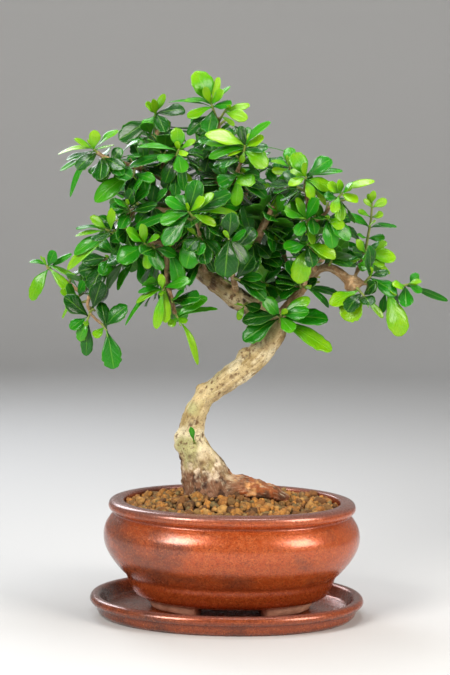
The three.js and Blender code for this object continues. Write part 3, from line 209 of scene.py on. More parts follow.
def ring_faces(rings, count, closed=True):
    """Quads between rings of the same count of points, one ring after another."""
    steps = np.arange(count if closed else count - 1)
    r, k = np.meshgrid(np.arange(rings - 1), steps, indexing="ij")
    a = r * count + k
    b = r * count + (k + 1) % count
    return np.stack([a, b, b + count, a + count], -1).reshape(-1, 4)


def capped(rings, count):
    """The faces of a closed tube: quads between its rings, and one face at each end."""
    top = (rings - 1) * count
    ends = [list(range(count - 1, -1, -1)), list(range(top, top + count))]
    return ring_faces(rings, count).tolist() + ends


def turned(ovals, sides, centre):
    """A closed oval shell. Each oval is a superellipse: x = a sign(c) |c|^0.95 and
    y = b sign(s) |s|^0.95, with c and s the cosine and sine of evenly spaced angles."""
    angles = 2 * np.pi * (np.arange(sides) + 0.5) / sides
    x, y = (np.sign(way) * np.abs(way) ** 0.95 for way in (np.cos(angles), np.sin(angles)))
    a, b, z = np.asarray(ovals, float).T[..., None]
    points = np.stack([centre + a * x, b * y, np.repeat(z, sides, 1)], -1)
    return points.reshape(-1, 3), capped(len(ovals), sides)


def edge_marks(ovals, sides, lip_places, groove_heights, foot_height):
    """How near each oval is to the lip and to a groove, and how far below the foot's top,
    for each point: bell curves of 3 and 1.2 mm round the given places of the profile."""
    half, height = ovals[:, 0], ovals[:, 2]
    outside = np.arange(len(ovals)) < np.argmax(height) + 2
    lips = sum(np.exp(-(((half - a) / 3) ** 2) - ((height - z) / 3) ** 2) for a, z in lip_places)
    # the grooves carry the glaze's painted shade
    groove_shade = sum(np.exp(-(((height - z) / 1.2) ** 2)) * outside for z in groove_heights)
    feet = np.clip((foot_height - height) / 5, 0, 1) * outside
    marks = np.stack([lips, groove_shade, feet], -1)
    return np.repeat(marks, sides, axis=0)


def piece(
    name, points, faces, skins, stands_for=(), slot=None, colours=None, uv=None, picks=None
):
    """A named object from points in millimetres and faces, which rides on the part.
    colours is (attribute name, red, green and blue of each point), uv is (map name, two
    numbers for each point), and picks gives each face its place in the list of skins."""
    mesh = bpy.data.meshes.new(name)
    points = np.asarray(points, float) * MM
    mesh.from_pydata(points.tolist(), [], faces)
    for skin in skins:
        mesh.materials.append(skin)
    mesh.shade_smooth()
    if picks is not None:
        mesh.polygons.foreach_set("material_index", np.asarray(picks, np.int32))
    if colours is not None:
        layer = mesh.color_attributes.new(colours[0], "FLOAT_COLOR", "POINT")
        values = np.ones((len(points), 4))
        values[:, :3] = np.clip(colours[1], 0, 1)
        layer.data.foreach_set("color", values.ravel())
    if uv is not None:
        layer = mesh.uv_layers.new(name=uv[0])
        corners = np.zeros(len(mesh.loops), np.int32)
        mesh.loops.foreach_get("vertex_index", corners)
        layer.data.foreach_set("uv", np.asarray(uv[1], float)[corners].ravel())
    made = bpy.data.objects.new(name, mesh)
    bpy.context.scene.collection.objects.link(made)
    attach(made, "root")
    if stands_for:
        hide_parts(*stands_for)
    return made


SAUCER_GLAZE = glaze("saucer_glaze", "#903c16", "#a85228", "#40201a")
saucer_profile = smooth(SAUCER_OVALS, OVAL_STEPS)
points, faces = turned(saucer_profile, SIDES, 0)
marks = edge_marks(saucer_profile, SIDES, [(104.4, 16.4)], [8.8], 0)
points[:, :2] *= 1 + 0.0025 * noise(points, 60, 5)[:, None]
piece("saucer_glazed", points, faces, [SAUCER_GLAZE], ["saucer"], "saucer_glaze", ("clay", marks))


# The pot: an oval tub of the same stoneware, with a rolled lip and a waisted foot. It is
# glazed outside and over its lip, and its underside and inside are bare clay.
POT_X = 3  # the pot stands this far right of the saucer's middle
PAD_HEIGHT = 8.5  # this and the sizes round it are the CAD part's driving sizes
POT_UNDERSIDE = SAUCER_FLOOR + PAD_HEIGHT
POT_FLOOR = 27
GLAZE_RINGS = 9  # the glaze ends this many rings past the top of the pot's lip

# Ovals in the same order as the saucer's.
POT_OVALS = [
    [70, 49.5, POT_UNDERSIDE],
    [76.5, 56, 18.5],
    [80.8, 59.8, 26],
    [83.6, 61.6, 33],
    [88.5, 66, 38],
    [95.5, 73, 47],
    [100.2, 77.4, 56],
    [101.6, 78.8, 64],
    [100.4, 77.6, 71.5],
    [96.6, 73.8, 78],
    [93.4, 70.6, 81.8],
    [96.2, 73.4, 84.4],
    [97.8, 75, 87.4],
    [95.8, 73, 91.4],
    [87.6, 65, 92.4],
    [85.8, 63.2, 88],
    [92.5, 69.8, 66],
    [88, 65.4, 52],
    [72, 50, POT_FLOOR],
]


def bare_clay():
    """Unglazed stoneware of the pads and inside: matt, pale pinkish brown, gritty."""
    made, shader = material("bare_clay", Roughness=0.85)
    place = node(made, "TexCoord", {}, "Object")
    sizes = ((120, 5, 0.55), (900, 3, 0.55))
    body, grit = several(made, "TexNoise", PATTERN, sizes, Vector=place)
    body = node(made, "ValToRGB", {0: body}, stops=[(0.3, "#a87860"), (0.7, "#d8ac92")])
    return surfaced(made, shader, body, grit, 0.0004, 0.35)


POT_GLAZE = glaze("pot_glaze", "#b44c1c", "#c46c38", "#6e3c2e")
BARE_CLAY = bare_clay()
pot_profile = smooth(POT_OVALS, OVAL_STEPS)
points, faces = turned(pot_profile, SIDES, POT_X)
lip = [(95.8, 91.4), (91, 92.4), (87, 92)]
marks = edge_marks(pot_profile, SIDES, lip, [81.8, 33.4], 36)
faces_height = np.array([points[face[:4], 2].mean() for face in faces])
inside_face = np.arange(len(faces)) // SIDES > np.argmax(pot_profile[:, 2]) + GLAZE_RINGS
bare = (faces_height < POT_UNDERSIDE + 0.6) | inside_face
points[:, :2] *= 1 + 0.0022 * noise(points, 60, 8)[:, None]
skins = [POT_GLAZE, BARE_CLAY]
piece("pot_glazed", points, faces, skins, ["pot"], "pot_glaze", ("clay", marks), picks=bare)


# The pot's pads: four corner pieces of bare stoneware, joined to its foot before firing.
# They stand on the saucer's floor, so that water can drain away under the pot.
def together(parts):
    """Several (points, faces) as one pair."""
    points, faces = [], []
    start = 0
    for some, some_faces in parts:
        points.append(np.asarray(some, float))
        if isinstance(some_faces, np.ndarray):
            faces += (some_faces + start).tolist()
        else:
            faces += [[start + index for index in face] for face in some_faces]
        start += len(some)
    return np.concatenate(points), faces


def pads():
    """Four corner pads of bare clay between the saucer's floor and the pot's foot: each
    is a stretch of an oval band 13 mm wide, with ends square to it and rounded edges."""
    low, high = SAUCER_FLOOR + 0.35, POT_UNDERSIDE + 0.8
    corners = [(55, 35.5, high), (55, 35.5, low + 1.5), (56.5, 37, low)]
    corners += [(63, 43, low), (64.8, 44.6, low + 1.5), (69.4, 49, high)]
    a, b, z = np.array(corners).T
    parts = []
    for middle in (42, 138, 222, 318):
        angles = np.radians(np.linspace(middle - 23, middle + 23, 25))[:, None]
        rings = np.stack([POT_X + a * np.cos(angles), b * np.sin(angles), z + 0 * angles], -1)
        parts.append((rings.reshape(-1, 3), capped(len(angles), len(corners))))
    return together(parts)


points, faces = pads()
points += 0.35 * np.stack([noise(points, 7, seed) for seed in (11, 12, 13)], -1)
piece("pot_pads", points, faces, [BARE_CLAY])


# The drainage screens: squares woven from round bars of black plastic, one over each
# hole in the pot's floor, where they lie loose and keep the soil in.
SCREEN_SIDE = 26
SCREEN_X = 32  # from the pot's middle to a screen's


def unit(vectors):
    """Each vector divided by its length."""
    vectors = np.asarray(vectors, float)
    return vectors / np.sqrt((vectors * vectors).sum(-1, keepdims=True))


def carried(line, start=0.0):
    """Stations with two directions square to the line, carried along without twist, and
    the length from its foot, as rows of x, y, z, radius, nine numbers and length."""
    rows = []
    across = None
    for i, station in enumerate(line):
        along = unit(line[min(i + 1, len(line) - 1), :3] - line[max(i - 1, 0), :3])
        if across is None:
            across = np.array([0, 0, 1.0]) if abs(along[2]) < 0.9 else np.array([1.0, 0, 0])
        across = unit(across - along * (across @ along))
        if i:
            start += np.linalg.norm(station[:3] - line[i - 1, :3])
        rows.append([*station, *across, *np.cross(along, across), *along, start])
    return np.array(rows)


def tube(stations, sides):
    """A closed tube along stations of x, y, z, radius, with rings square to the line."""
    rows = carried(np.asarray(stations, float))[:, None]
    angles = 2 * np.pi * np.arange(sides)[:, None] / sides
    out = np.cos(angles) * rows[..., 4:7] + np.sin(angles) * rows[..., 7:10]
    points = rows[..., :3] + out * rows[..., 3:4]
    return points.reshape(-1, 3), capped(len(rows), sides)


def screen(side):
    """Two layers of seven round bars each, crossed square."""
    half = SCREEN_SIDE / 2
    middle = POT_X + side * SCREEN_X
    z = POT_FLOOR + 0.9
    bars = []
    for step in np.linspace(-half + 0.6, half - 0.6, 7):
        bars.append([[x, step, z, 0.45] for x in (middle - half, middle + half)])
        bars.append([[middle + step, y, z + 0.35, 0.45] for y in (-half, half)])
    return together([tube(bar, 8) for bar in bars])


SCREEN_PLASTIC = material("screen_plastic", Base_Color=linear("#1c1c1c"), Roughness=0.6)[0]
for name, side in (("drain_screen_left", -1), ("drain_screen_right", 1)):
    points, faces = screen(side)
    piece(name + "_mesh", points, faces, [SCREEN_PLASTIC], [name], "screen_plastic")


# The tree's wood: trunk, surface root, limbs, cut stubs and knots, grown as one and rooted
# in the soil. Its bark is pale and dry, with scars, and brown at the foot. Its tables are
# places in the photograph, which are turned to points through the photograph's camera.

# The photograph's camera: place and focal length in millimetres and pixels, turn in
# degrees. It is the one that the tree's tables below are read through.
CAMERA = {"x": -5, "y": -1700, "z": 415, "focal": 2180, "pitch": 6.5, "roll": 1}
CAMERA.update(across=225, down=337.5)

# The camera's three directions, and the point that a place in the photograph shows.
pitch = np.radians(CAMERA["pitch"])
roll = np.radians(CAMERA["roll"])
FORWARD = np.array([0, np.cos(pitch), -np.sin(pitch)])
LEVEL_UP = np.array([0, np.sin(pitch), np.cos(pitch)])
RIGHT = np.array([1, 0, 0]) * np.cos(roll) + LEVEL_UP * np.sin(roll)
UP = LEVEL_UP * np.cos(roll) - np.array([1, 0, 0]) * np.sin(roll)
EYE = np.array([CAMERA["x"], CAMERA["y"], CAMERA["z"]], float)


def spot(place):
    """The point at the given depth along +Y that [across, down, depth] shows."""
    across, down, depth = place[:3]
    sideways = RIGHT * (across - CAMERA["across"]) / CAMERA["focal"]
    upward = UP * (CAMERA["down"] - down) / CAMERA["focal"]
    ray = FORWARD + sideways + upward
    return EYE + ray * (depth - CAMERA["y"]) / ray[1]


# Wood: each limb is a list of [across, down, depth, radius], the first two in the
# photograph's pixels and the others in millimetres.
LIMBS = {
    "trunk": [
        [216, 536, 12, 19], [216, 512, 12, 21], [210, 490, 12, 21], [205, 474, 12, 18.5],
        [199, 460, 11, 14.8], [194, 449, 10, 12.6], [191, 438, 10, 11.1], [192, 429, 9, 10.2],
        [194, 420, 8, 9.5], [198, 409, 7, 8.9], [206, 396, 6, 8.6], [220, 386, 5, 9],
        [242, 368, 5, 9.9], [260, 353, 4, 9.9], [271, 340, 3, 9], [277, 330, 4, 8.4],
        [276, 320, 6, 8.3], [267, 312, 8, 8.6], [254, 307, 9, 8.7], [242, 301, 8, 8.5],
        [228, 292, 5, 8], [215, 283, 2, 7.2], [204, 274, 0, 6.2], [195, 264, 0, 5.5],
        [187, 251, 1, 5], [181, 239, 3, 4.6], [178, 226, 4, 4.2], [175, 211, 4, 3.9],
        [171, 195, 2, 3.6], [166, 180, 0, 3.1], [164, 168, -2, 2.4],
    ],
    "surface_root": [
        [208, 488, 10, 13], [228, 488, 6, 11], [246, 488, 4, 9], [262, 491, 3, 7.4],
        [276, 494, 3, 6], [288, 500, 3, 3.4],
    ],
    "hanging": [
        [190, 256, 0, 4], [178, 248, -18, 3.2], [168, 247, -32, 2.8], [167, 262, -36, 2.3],
        [167, 280, -36, 2.2], [171, 298, -34, 2], [175, 314, -32, 1.7],
    ],
    "hanging_side": [[167, 247, -32, 2.4], [157, 242, -38, 2.1], [148, 246, -44, 1.6]],
    "left_low": [
        [180, 231, 4, 3.6], [160, 243, 12, 3.1], [138, 252, 12, 2.8], [118, 256, 10, 2.6],
        [104, 263, 10, 2.4], [97, 277, 10, 2.3], [93, 290, 8, 2.1],
    ],
    "left_tip": [
        [93, 291, 8, 2.1], [80, 291, 14, 1.9], [69, 284, 18, 1.8], [58, 275, 20, 1.5],
        [46, 267, 20, 1.1],
    ],
    "left_drop": [
        [93, 291, 8, 2], [88, 301, 0, 1.6], [90, 312, -6, 1.4], [98, 321, -10, 1.3],
        [106, 327, -14, 1.2],
    ],
    "left_middle": [
        [176, 212, 4, 3], [158, 210, -10, 2.6], [141, 208, -24, 2.4], [129, 215, -34, 2.2],
        [123, 226, -40, 2], [118, 238, -44, 1.5],
    ],
    "left_high": [
        [167, 182, 0, 2.8], [150, 171, -10, 2.5], [135, 167, -18, 2.3], [118, 162, -24, 2.1],
        [106, 158, -27, 1.9], [96, 152, -30, 1.5],
    ],
    "top_left": [
        [164, 169, -2, 2.2], [159, 150, 10, 1.9], [157, 134, 18, 1.7], [155, 120, 22, 1.4],
    ],
    "front_fork": [[165, 173, -1, 1.9], [171, 162, -18, 1.6], [177, 155, -30, 1.3]],
    "leader": [
        [204, 271, 0, 4.6], [210, 248, 14, 4], [214, 222, 22, 3.6], [216, 190, 22, 3.1],
        [217, 160, 16, 2.6], [218, 138, 10, 2.2], [218, 117, 4, 1.7],
    ],
    "leader_side": [
        [214, 222, 22, 2.7], [224, 203, 2, 2.4], [231, 187, -16, 2.1], [238, 170, -28, 1.8],
        [244, 153, -36, 1.4],
    ],
    "front_stem": [
        [205, 271, -2, 2.4], [204, 260, -22, 1.8], [202, 245, -38, 1.5], [198, 229, -48, 1.4],
        [194, 216, -54, 1.2],
    ],
    "centre": [
        [262, 306, 9, 4.4], [262, 285, 14, 3.7], [259, 262, 10, 3.4], [257, 244, 0, 3.2],
        [261, 231, -12, 3.1], [268, 217, -16, 2.7], [273, 206, -16, 1.8],
    ],
    "centre_back": [
        [259, 258, 9, 2.9], [250, 228, 30, 2.4], [245, 202, 40, 2], [250, 183, 44, 1.5],
    ],
    "right_limb": [
        [278, 322, 5, 6], [290, 304, 0, 4], [302, 290, -4, 3.2], [312, 277, -8, 3],
        [322, 268, -10, 3.2], [334, 269, -12, 3.5], [346, 278, -12, 4], [354, 284, -12, 4.1],
        [361, 286, -12, 3.2],
    ],
    "right_stub": [[350, 280, -13, 3.4], [346, 291, -14, 2.9]],
    "right_upright": [
        [312, 272, -8, 3.3], [312, 250, -18, 2.8], [311, 228, -24, 2.4], [308, 205, -28, 2],
        [305, 182, -30, 1.6],
    ],
    "right_side": [
        [311, 223, -25, 2], [322, 217, -32, 1.7], [330, 207, -36, 1.5], [338, 198, -40, 1.2],
    ],
    "inner_upright": [
        [300, 287, -3, 2.8], [290, 270, 12, 2.5], [283, 250, 18, 2.1], [285, 222, 20, 1.8],
        [287, 195, 16, 1.6], [289, 172, 12, 1.3],
    ],
    "right_outer": [[352, 281, -12, 2.5], [360, 266, 0, 2], [366, 250, 10, 1.7]],
    "right_far": [
        [358, 283, -12, 2.9], [374, 283, -14, 2.2], [390, 285, -14, 1.8], [406, 286, -14, 1.3],
    ],
    "back_left": [
        [184, 246, 2, 3.6], [172, 232, 26, 2.9], [155, 218, 46, 2.4], [136, 208, 60, 1.7],
    ],
    "back_middle": [
        [219, 281, 2, 4], [222, 262, 28, 3.3], [226, 240, 50, 2.7], [232, 216, 66, 1.9],
    ],
    "back_top": [[216, 190, 22, 2.4], [208, 172, 38, 1.9], [200, 152, 48, 1.4]],
    "back_right": [
        [279, 322, 5, 4.2], [292, 300, 26, 3.3], [308, 276, 44, 2.8], [326, 256, 58, 1.8],
    ],
    "front_middle": [
        [236, 292, 6, 3], [233, 277, -24, 2.2], [230, 262, -42, 1.7], [229, 246, -52, 1.3],
    ],
}

# Knots and cut stubs on the wood: [across, down, depth, radius].
KNOTS = [
    [243, 354, 2, 5.8], [181, 438, 10, 6.2], [181, 446, 10, 6.2], [203, 444, 10, 5],
    [212, 460, 10, 5], [204, 391, 6, 7.4], [228, 386, 5, 6.4], [355, 281, -12, 5],
    [352, 291, -13, 3.6],
]

# Scars and small hollows on the bark, as [across, down, radius in mm].
SCARS = [
    [232, 377, 2.3], [223, 385, 1.5], [200, 392, 2.2], [184, 419, 1.6], [191, 424, 2.3],
    [183, 431, 1.7], [189, 457, 1.8], [201, 464, 2], [184, 469, 2.9], [186, 474, 2.2],
    [207, 477, 3], [199, 476, 2.4], [220, 474, 2.4], [238, 481, 1.4], [240, 361, 1.6],
    [252, 359, 1.2], [246, 356, 1.3], [214, 400, 1.2],
]

BARK_MESH = 0.95  # the bark's mesh width in mm
THICK_LIMB = 4.2  # limbs with a foot thicker than this have more sides
FIBRE_STEP = 300.0  # how far apart the bark patterns of two limbs start, in mm


def limb_line(name, steps):
    """A limb's smooth stations in millimetres: x, y, z, radius."""
    return smooth([[*spot(place), place[3]] for place in LIMBS[name]], steps)


def icosphere(subdivisions, radius):
    """A ball's points and triangles."""
    ball = bmesh.new()
    bmesh.ops.create_icosphere(ball, subdivisions=subdivisions, radius=radius)
    points = np.array([list(vert.co) for vert in ball.verts])
    faces = np.array([[vert.index for vert in face.verts] for face in ball.faces])
    ball.free()
    return points, faces


def modified(points, faces, *modifiers):
    """The points, faces and normals of a mesh after these modifiers, each (type, settings)."""
    mesh = bpy.data.meshes.new("draft")
    mesh.from_pydata((np.asarray(points) * MM).tolist(), [], faces)
    draft = bpy.data.objects.new("draft", mesh)
    bpy.context.scene.collection.objects.link(draft)
    for kind, settings in modifiers:
        added = draft.modifiers.new(kind, kind)
        for name, value in settings.items():
            setattr(added, name, value)
    done = draft.evaluated_get(bpy.context.evaluated_depsgraph_get()).to_mesh()
    found = []
    for key in ("co", "normal"):
        values = np.zeros(len(done.vertices) * 3)
        done.vertices.foreach_get(key, values)
        found.append(values.reshape(-1, 3))
    quads = [list(face.vertices) for face in done.polygons]
    bpy.data.objects.remove(draft)
    return found[0] / MM, quads, found[1]


FINE_LINES = {name: limb_line(name, 6) for name in LIMBS}
parts = [tube(line, 20 if line[0][3] > THICK_LIMB else 12) for line in FINE_LINES.values()]
for place in KNOTS:
    ball, faces = icosphere(3, place[3])
    parts.append((ball + spot(place), faces))
points, faces = together(parts)
remesh = ("REMESH", {"mode": "VOXEL", "voxel_size": BARK_MESH * MM})
evening = ("SMOOTH", {"factor": 0.5, "iterations": 3})
points, faces, normals = modified(points, faces, remesh, evening)


def relaxed(points, faces, weight, rounds):
    """Moves each point towards the mean of its neighbours, by its weight, in rounds."""
    edges = np.concatenate([np.array(faces)[:, [k, (k + 1) % 4]] for k in range(4)])
    count = np.bincount(edges[:, 0], minlength=len(points))[:, None]
    for _ in range(rounds):
        axes = [np.bincount(edges[:, 0], points[edges[:, 1], k], len(points)) for k in range(3)]
        points = points + weight[:, None] * (np.stack(axes, -1) / count - points)
    return points


def rise(value, low, high):
    """0 where the value is at low and 1 where it is at high, held at both ends."""
    return np.clip((value - low) / (high - low), 0, 1)


def rough(points, size, seed=0, octaves=3):
    """Noise with finer noise on it: each octave has half the size and half the height."""
    return sum(noise(points, size / 2**i, seed + i) / 2**i for i in range(octaves))


knots = np.array([[*spot(place[:3]), place[3]] for place in KNOTS])
from_knots = np.linalg.norm(points[:, None] - knots[None, :, :3], axis=2) - knots[None, :, 3]
near_knots = np.clip(1.5 - np.abs(from_knots.min(axis=1)) / 5, 0, 1)
points = relaxed(points, faces, 0.6 * near_knots, 30)

fine = enumerate(FINE_LINES.values())
stations = np.concatenate([carried(line, FIBRE_STEP * i) for i, line in fine])
nearest_station = np.zeros(len(points), int)
for some in np.array_split(np.arange(len(points)), 40):
    away = np.linalg.norm(points[some, None] - stations[None, :, :3], axis=2)
    nearest_station[some] = np.argmin(away - stations[None, :, 3], axis=1)
own = stations[nearest_station]
thickness = own[:, 3]
offset = points - own[:, :3]
fibre = np.stack([(offset * own[:, 4 + 3 * k : 7 + 3 * k]).sum(-1) for k in range(3)], -1)
fibre[:, 2] += own[:, 13]
old = rise(thickness, 2.2, 7.7)
height = points[:, 2]
dents = np.zeros(len(points))
trunk = FINE_LINES["trunk"]
for across, down, size in SCARS:
    ray = unit(spot([across, down, 0]) - EYE)
    reach = np.linalg.norm(np.cross(trunk[:, :3] - EYE, ray), axis=1)
    middle = trunk[np.argmin(reach)]
    hit = EYE + ray * ((middle[:3] - EYE) @ ray - middle[3] * 0.92)
    far = np.linalg.norm(points - hit, axis=1) * (1 + 0.3 * rough(points, 2.6, 43, 2))
    dents += np.exp(-(far / size) ** 2)
collar = np.clip(dents, 0, 1)
base = np.clip((128 - height) / 20 + 0.4 * rough(points, 9, 81), 0, 1)
lumps = 0.9 * rough(points * [1, 1, 0.7], 15, 21, 2) + 0.55 * rough(points, 5.5, 31, 2)
lumps += (0.3 + 0.75 * base) * rough(points, 3, 35, 2)
furrows = 1 - np.abs(noise(fibre * [1, 1, 0.2], 2.4, 51))
push = old * lumps + (0.2 + 0.2 * (1 - old)) * rough(points, 3, 71, 2)
push += -0.5 * old * rise(furrows, 0.75, 1) - 1.1 * collar**2
points = points + normals * push[:, None]


def bark():
    """Fukien tea bark, dry and matt. The attribute "wood" holds its colour, painted shade
    included, and the attribute "fibre" its place along and round the limb, so that fine
    brown fibres and specks follow the wood."""
    made, shader = material("bark", Roughness=0.8)
    own = node(made, "Attribute", {}, "Color", attribute_name="wood")
    fibre = node(made, "Attribute", {}, "Vector", attribute_name="fibre")
    fibre = node(made, "Mapping", {0: fibre, "Scale": (1, 1, 0.14)})
    values = {"Vector": fibre, "Scale": 620, "Detail": 5, "Roughness": 0.7}
    strands = node(made, "TexNoise", values)
    place = node(made, "TexCoord", {}, "Object")
    sizes = ((900, 4, 0.7), (500, 5, 0.7))
    specks, pores = several(made, "TexNoise", PATTERN, sizes, Vector=place)
    body = painted(
        made,
        own,
        (strands, 0.54, 0.74, 0.5, "#8a6a42"),
        (strands, 0.48, 0.3, 0.45, "#f2e6c4"),
        (specks, 0.54, 0.66, 0.75, "#5c4024"),
    )
    height = node(made, "Math", {0: strands, 1: pores}, operation="ADD")
    return surfaced(made, shader, body, height, 0.0009, 0.7)


BARK = bark()


def mixed(a, b, t):
    """a at t 0, b at t 1."""
    return a * (1 - t) + b * t


def tinted(colour, code, share_of):
    """The colour mixed towards a code by a share for each point."""
    return mixed(colour, np.array(linear(code)[:3]), np.clip(share_of, 0, 1)[:, None])


# The bark's colour: cream with grey-green and tan patches on the old wood, darker higher
# up, with dark patches where the crown starts that are partly painted shade, brown on the
# thin limbs, pinkish brown and dark at the trunk's foot, orange on the surface root with
# painted shade on its low side, and dark scars with painted shade in their hollows.
tone = np.tile(linear("#cdb888")[:3], (len(points), 1))
tone = tinted(tone, "#a58e5a", 1.6 * rough(fibre * [1, 1, 0.4], 6, 101, 3))
pale = 0.4 * rise(height, 118, 133) * rise(height, 158, 143)
tone = tinted(tone, "#ecdfb8", 1.5 * rough(fibre * [1, 1, 0.5], 7, 102, 3) + pale)
tone = tinted(tone, "#b4b07a", 1.5 * rough(points, 15, 103, 2) - 0.15)
tone = tinted(tone, "#7c683e", 0.45 * rise(height, 185, 235))
# dark patches where the crown starts: partly the bark's own dark patches, partly painted shade
# under the crown
tone = tinted(tone, "#3a2610", rise(height, 232, 244) * (3.2 * rough(points, 5, 111, 3) - 0.7))
flecks = 2.6 * rough(points, 2.1, 104, 3) - 1.1 + 0.9 * rough(points, 14, 99, 2)
tone = tinted(tone, "#6a4e2e", flecks)
thin = 1.15 - (thickness - 1.5) / 6.5 + 0.35 * rough(points, 18, 91)
tone = tinted(tone, "#80603c", 0.85 * np.clip(thin, 0, 1))
tone = tinted(tone, "#b8946a", np.clip(thin, 0, 1) * (2.2 * rough(points, 4, 105, 3) - 0.1))
tone = tinted(tone, "#7c4e36", 0.94 * base)
tone = tinted(tone, "#3e1e10", base * (3.2 * rough(points, 6.5, 106, 3) + 0.15))
clean = base * rise(height, 106, 114)
tone = tinted(tone, "#ecd8bc", clean * (3.0 * rough(points, 5, 107, 3) - 0.35))
root = rise(points[:, 0] + points[:, 1] * 0.3, 1, 8) * rise(height, 124, 116)
tone = tinted(tone, "#9c4e1a", root * (0.9 + 0.8 * rough(points, 8, 108, 2)))
tone = tinted(tone, "#e0a468", root * (2.4 * rough(points, 5, 109, 3) - 0.65))
# painted shade: the root is darker on its low side near the soil, with dark patches
root_low_shade = rise(height, 103, 98)
tone = tinted(tone, "#5a3018", root * (1.8 * rough(points, 6, 110, 2) - 0.6 + root_low_shade))
# scars: dark bark, with painted shade in their hollows
tone = tinted(tone, "#4c301c", 0.9 * collar**1.5)
tree = piece("tree_wood", points, faces, [BARK], ["tree"], "bark", ("wood", tone))
layer = tree.data.attributes.new("fibre", "FLOAT_VECTOR", "POINT")
layer.data.foreach_set("vector", (fibre * MM).ravel())


# The soil: baked clay grains, matt and porous, poured loose into the pot round the roots,
# so that they rise to the trunk and to the back. The lower ones are packed into one body.
SOIL_HALF = (85, 62.4)  # the soil surface's half length and half width
SOIL_INSIDE = (85.2, 62.6)  # the oval that loose grains keep inside


def soil_height(x, y):
    """The mean top of the grains: a low mound round the trunk and one at the back right."""
    near = np.exp(-(((x + 9) / 38) ** 2) - ((y - 3) / 34) ** 2)
    return 88.6 + 11 * near + 2 * np.exp(-(((x - 55) / 26) ** 2) - ((y - 30) / 18) ** 2)


def soil_body():
    """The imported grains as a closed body: its sides follow the pot's inside, and its top
    is a polar grid on the mound with lumps of half a grain."""
    sides, rings = 160, 40
    angles = 2 * np.pi * np.arange(sides) / sides
    c, s = np.cos(angles), np.sin(angles)
    shrink = 1 - 0.35 / 60
    rows = []
    wall = ((72, 50, POT_FLOOR + 2.4), (88, 65.4, 52), (92.3, 69.6, 66), (85.6, 63, 86))
    for a, b, z in wall:
        rows.append(np.stack([POT_X + a * shrink * c, b * shrink * s, np.full(sides, z)], -1))
    for t in np.linspace(1, 0.012, rings):
        x = POT_X + SOIL_HALF[0] * t * c
        y = SOIL_HALF[1] * t * s
        row = np.stack([x, y, soil_height(x, y) - 3.2], -1)
        row[:, 2] += 1.4 * noise(row, 5, 101)
        rows.append(row)
    return np.concatenate(rows), capped(len(rows), sides)


def grains():
    """Baked clay grains: matt and porous, from ochre to orange, brown and grey-green.
    The piece's attribute "grain" holds: red, a draw for each grain; green, its depth, which
    is painted as shade: the deeper, the darker."""
    made, shader = material("baked_clay_grains", Roughness=0.92)
    grain = node(made, "Attribute", {}, "Color", attribute_name="grain")
    pick, depth = node(made, "SeparateColor", {0: grain}, slice(2))
    place = node(made, "TexCoord", {}, "Object")
    sizes = ((420, 4, 0.65), (260, 3, 0.55), (1100, 4, 0.65))
    stains, dust, pores = several(made, "TexNoise", PATTERN, sizes, Vector=place)
    stops = [(0.0, "#4e3620"), (0.18, "#86582c"), (0.34, "#7c7048"), (0.5, "#b07c3a")]
    stops += [(0.68, "#c8893e"), (0.84, "#94602f"), (1.0, "#cc9e58")]
    body = painted(
        made,
        node(made, "ValToRGB", {0: pick}, stops=stops),
        (stains, 0.42, 0.66, 0.7, "#5c3c20"),
        (dust, 0.55, 0.75, 0.45, "#d2a262"),
        # painted shade: darker the deeper a point lies below the mean top, as in the gaps between
        # grains
        (depth, 0, 1, 1, "#1c1008"),
    )
    return surfaced(made, shader, body, pores, 0.0008, 0.8)


GRAINS = grains()
points, faces = soil_body()
draws = np.clip(0.45 + 0.4 * rough(points, 6, 103), 0, 1)
# the packed body below the loose grains is painted almost fully in that dark shade
marks = np.stack([draws, np.full(len(points), 0.9), draws * 0], -1)
piece("soil_body", points, faces, [GRAINS], ["soil"], "baked_clay_grains", ("grain", marks))


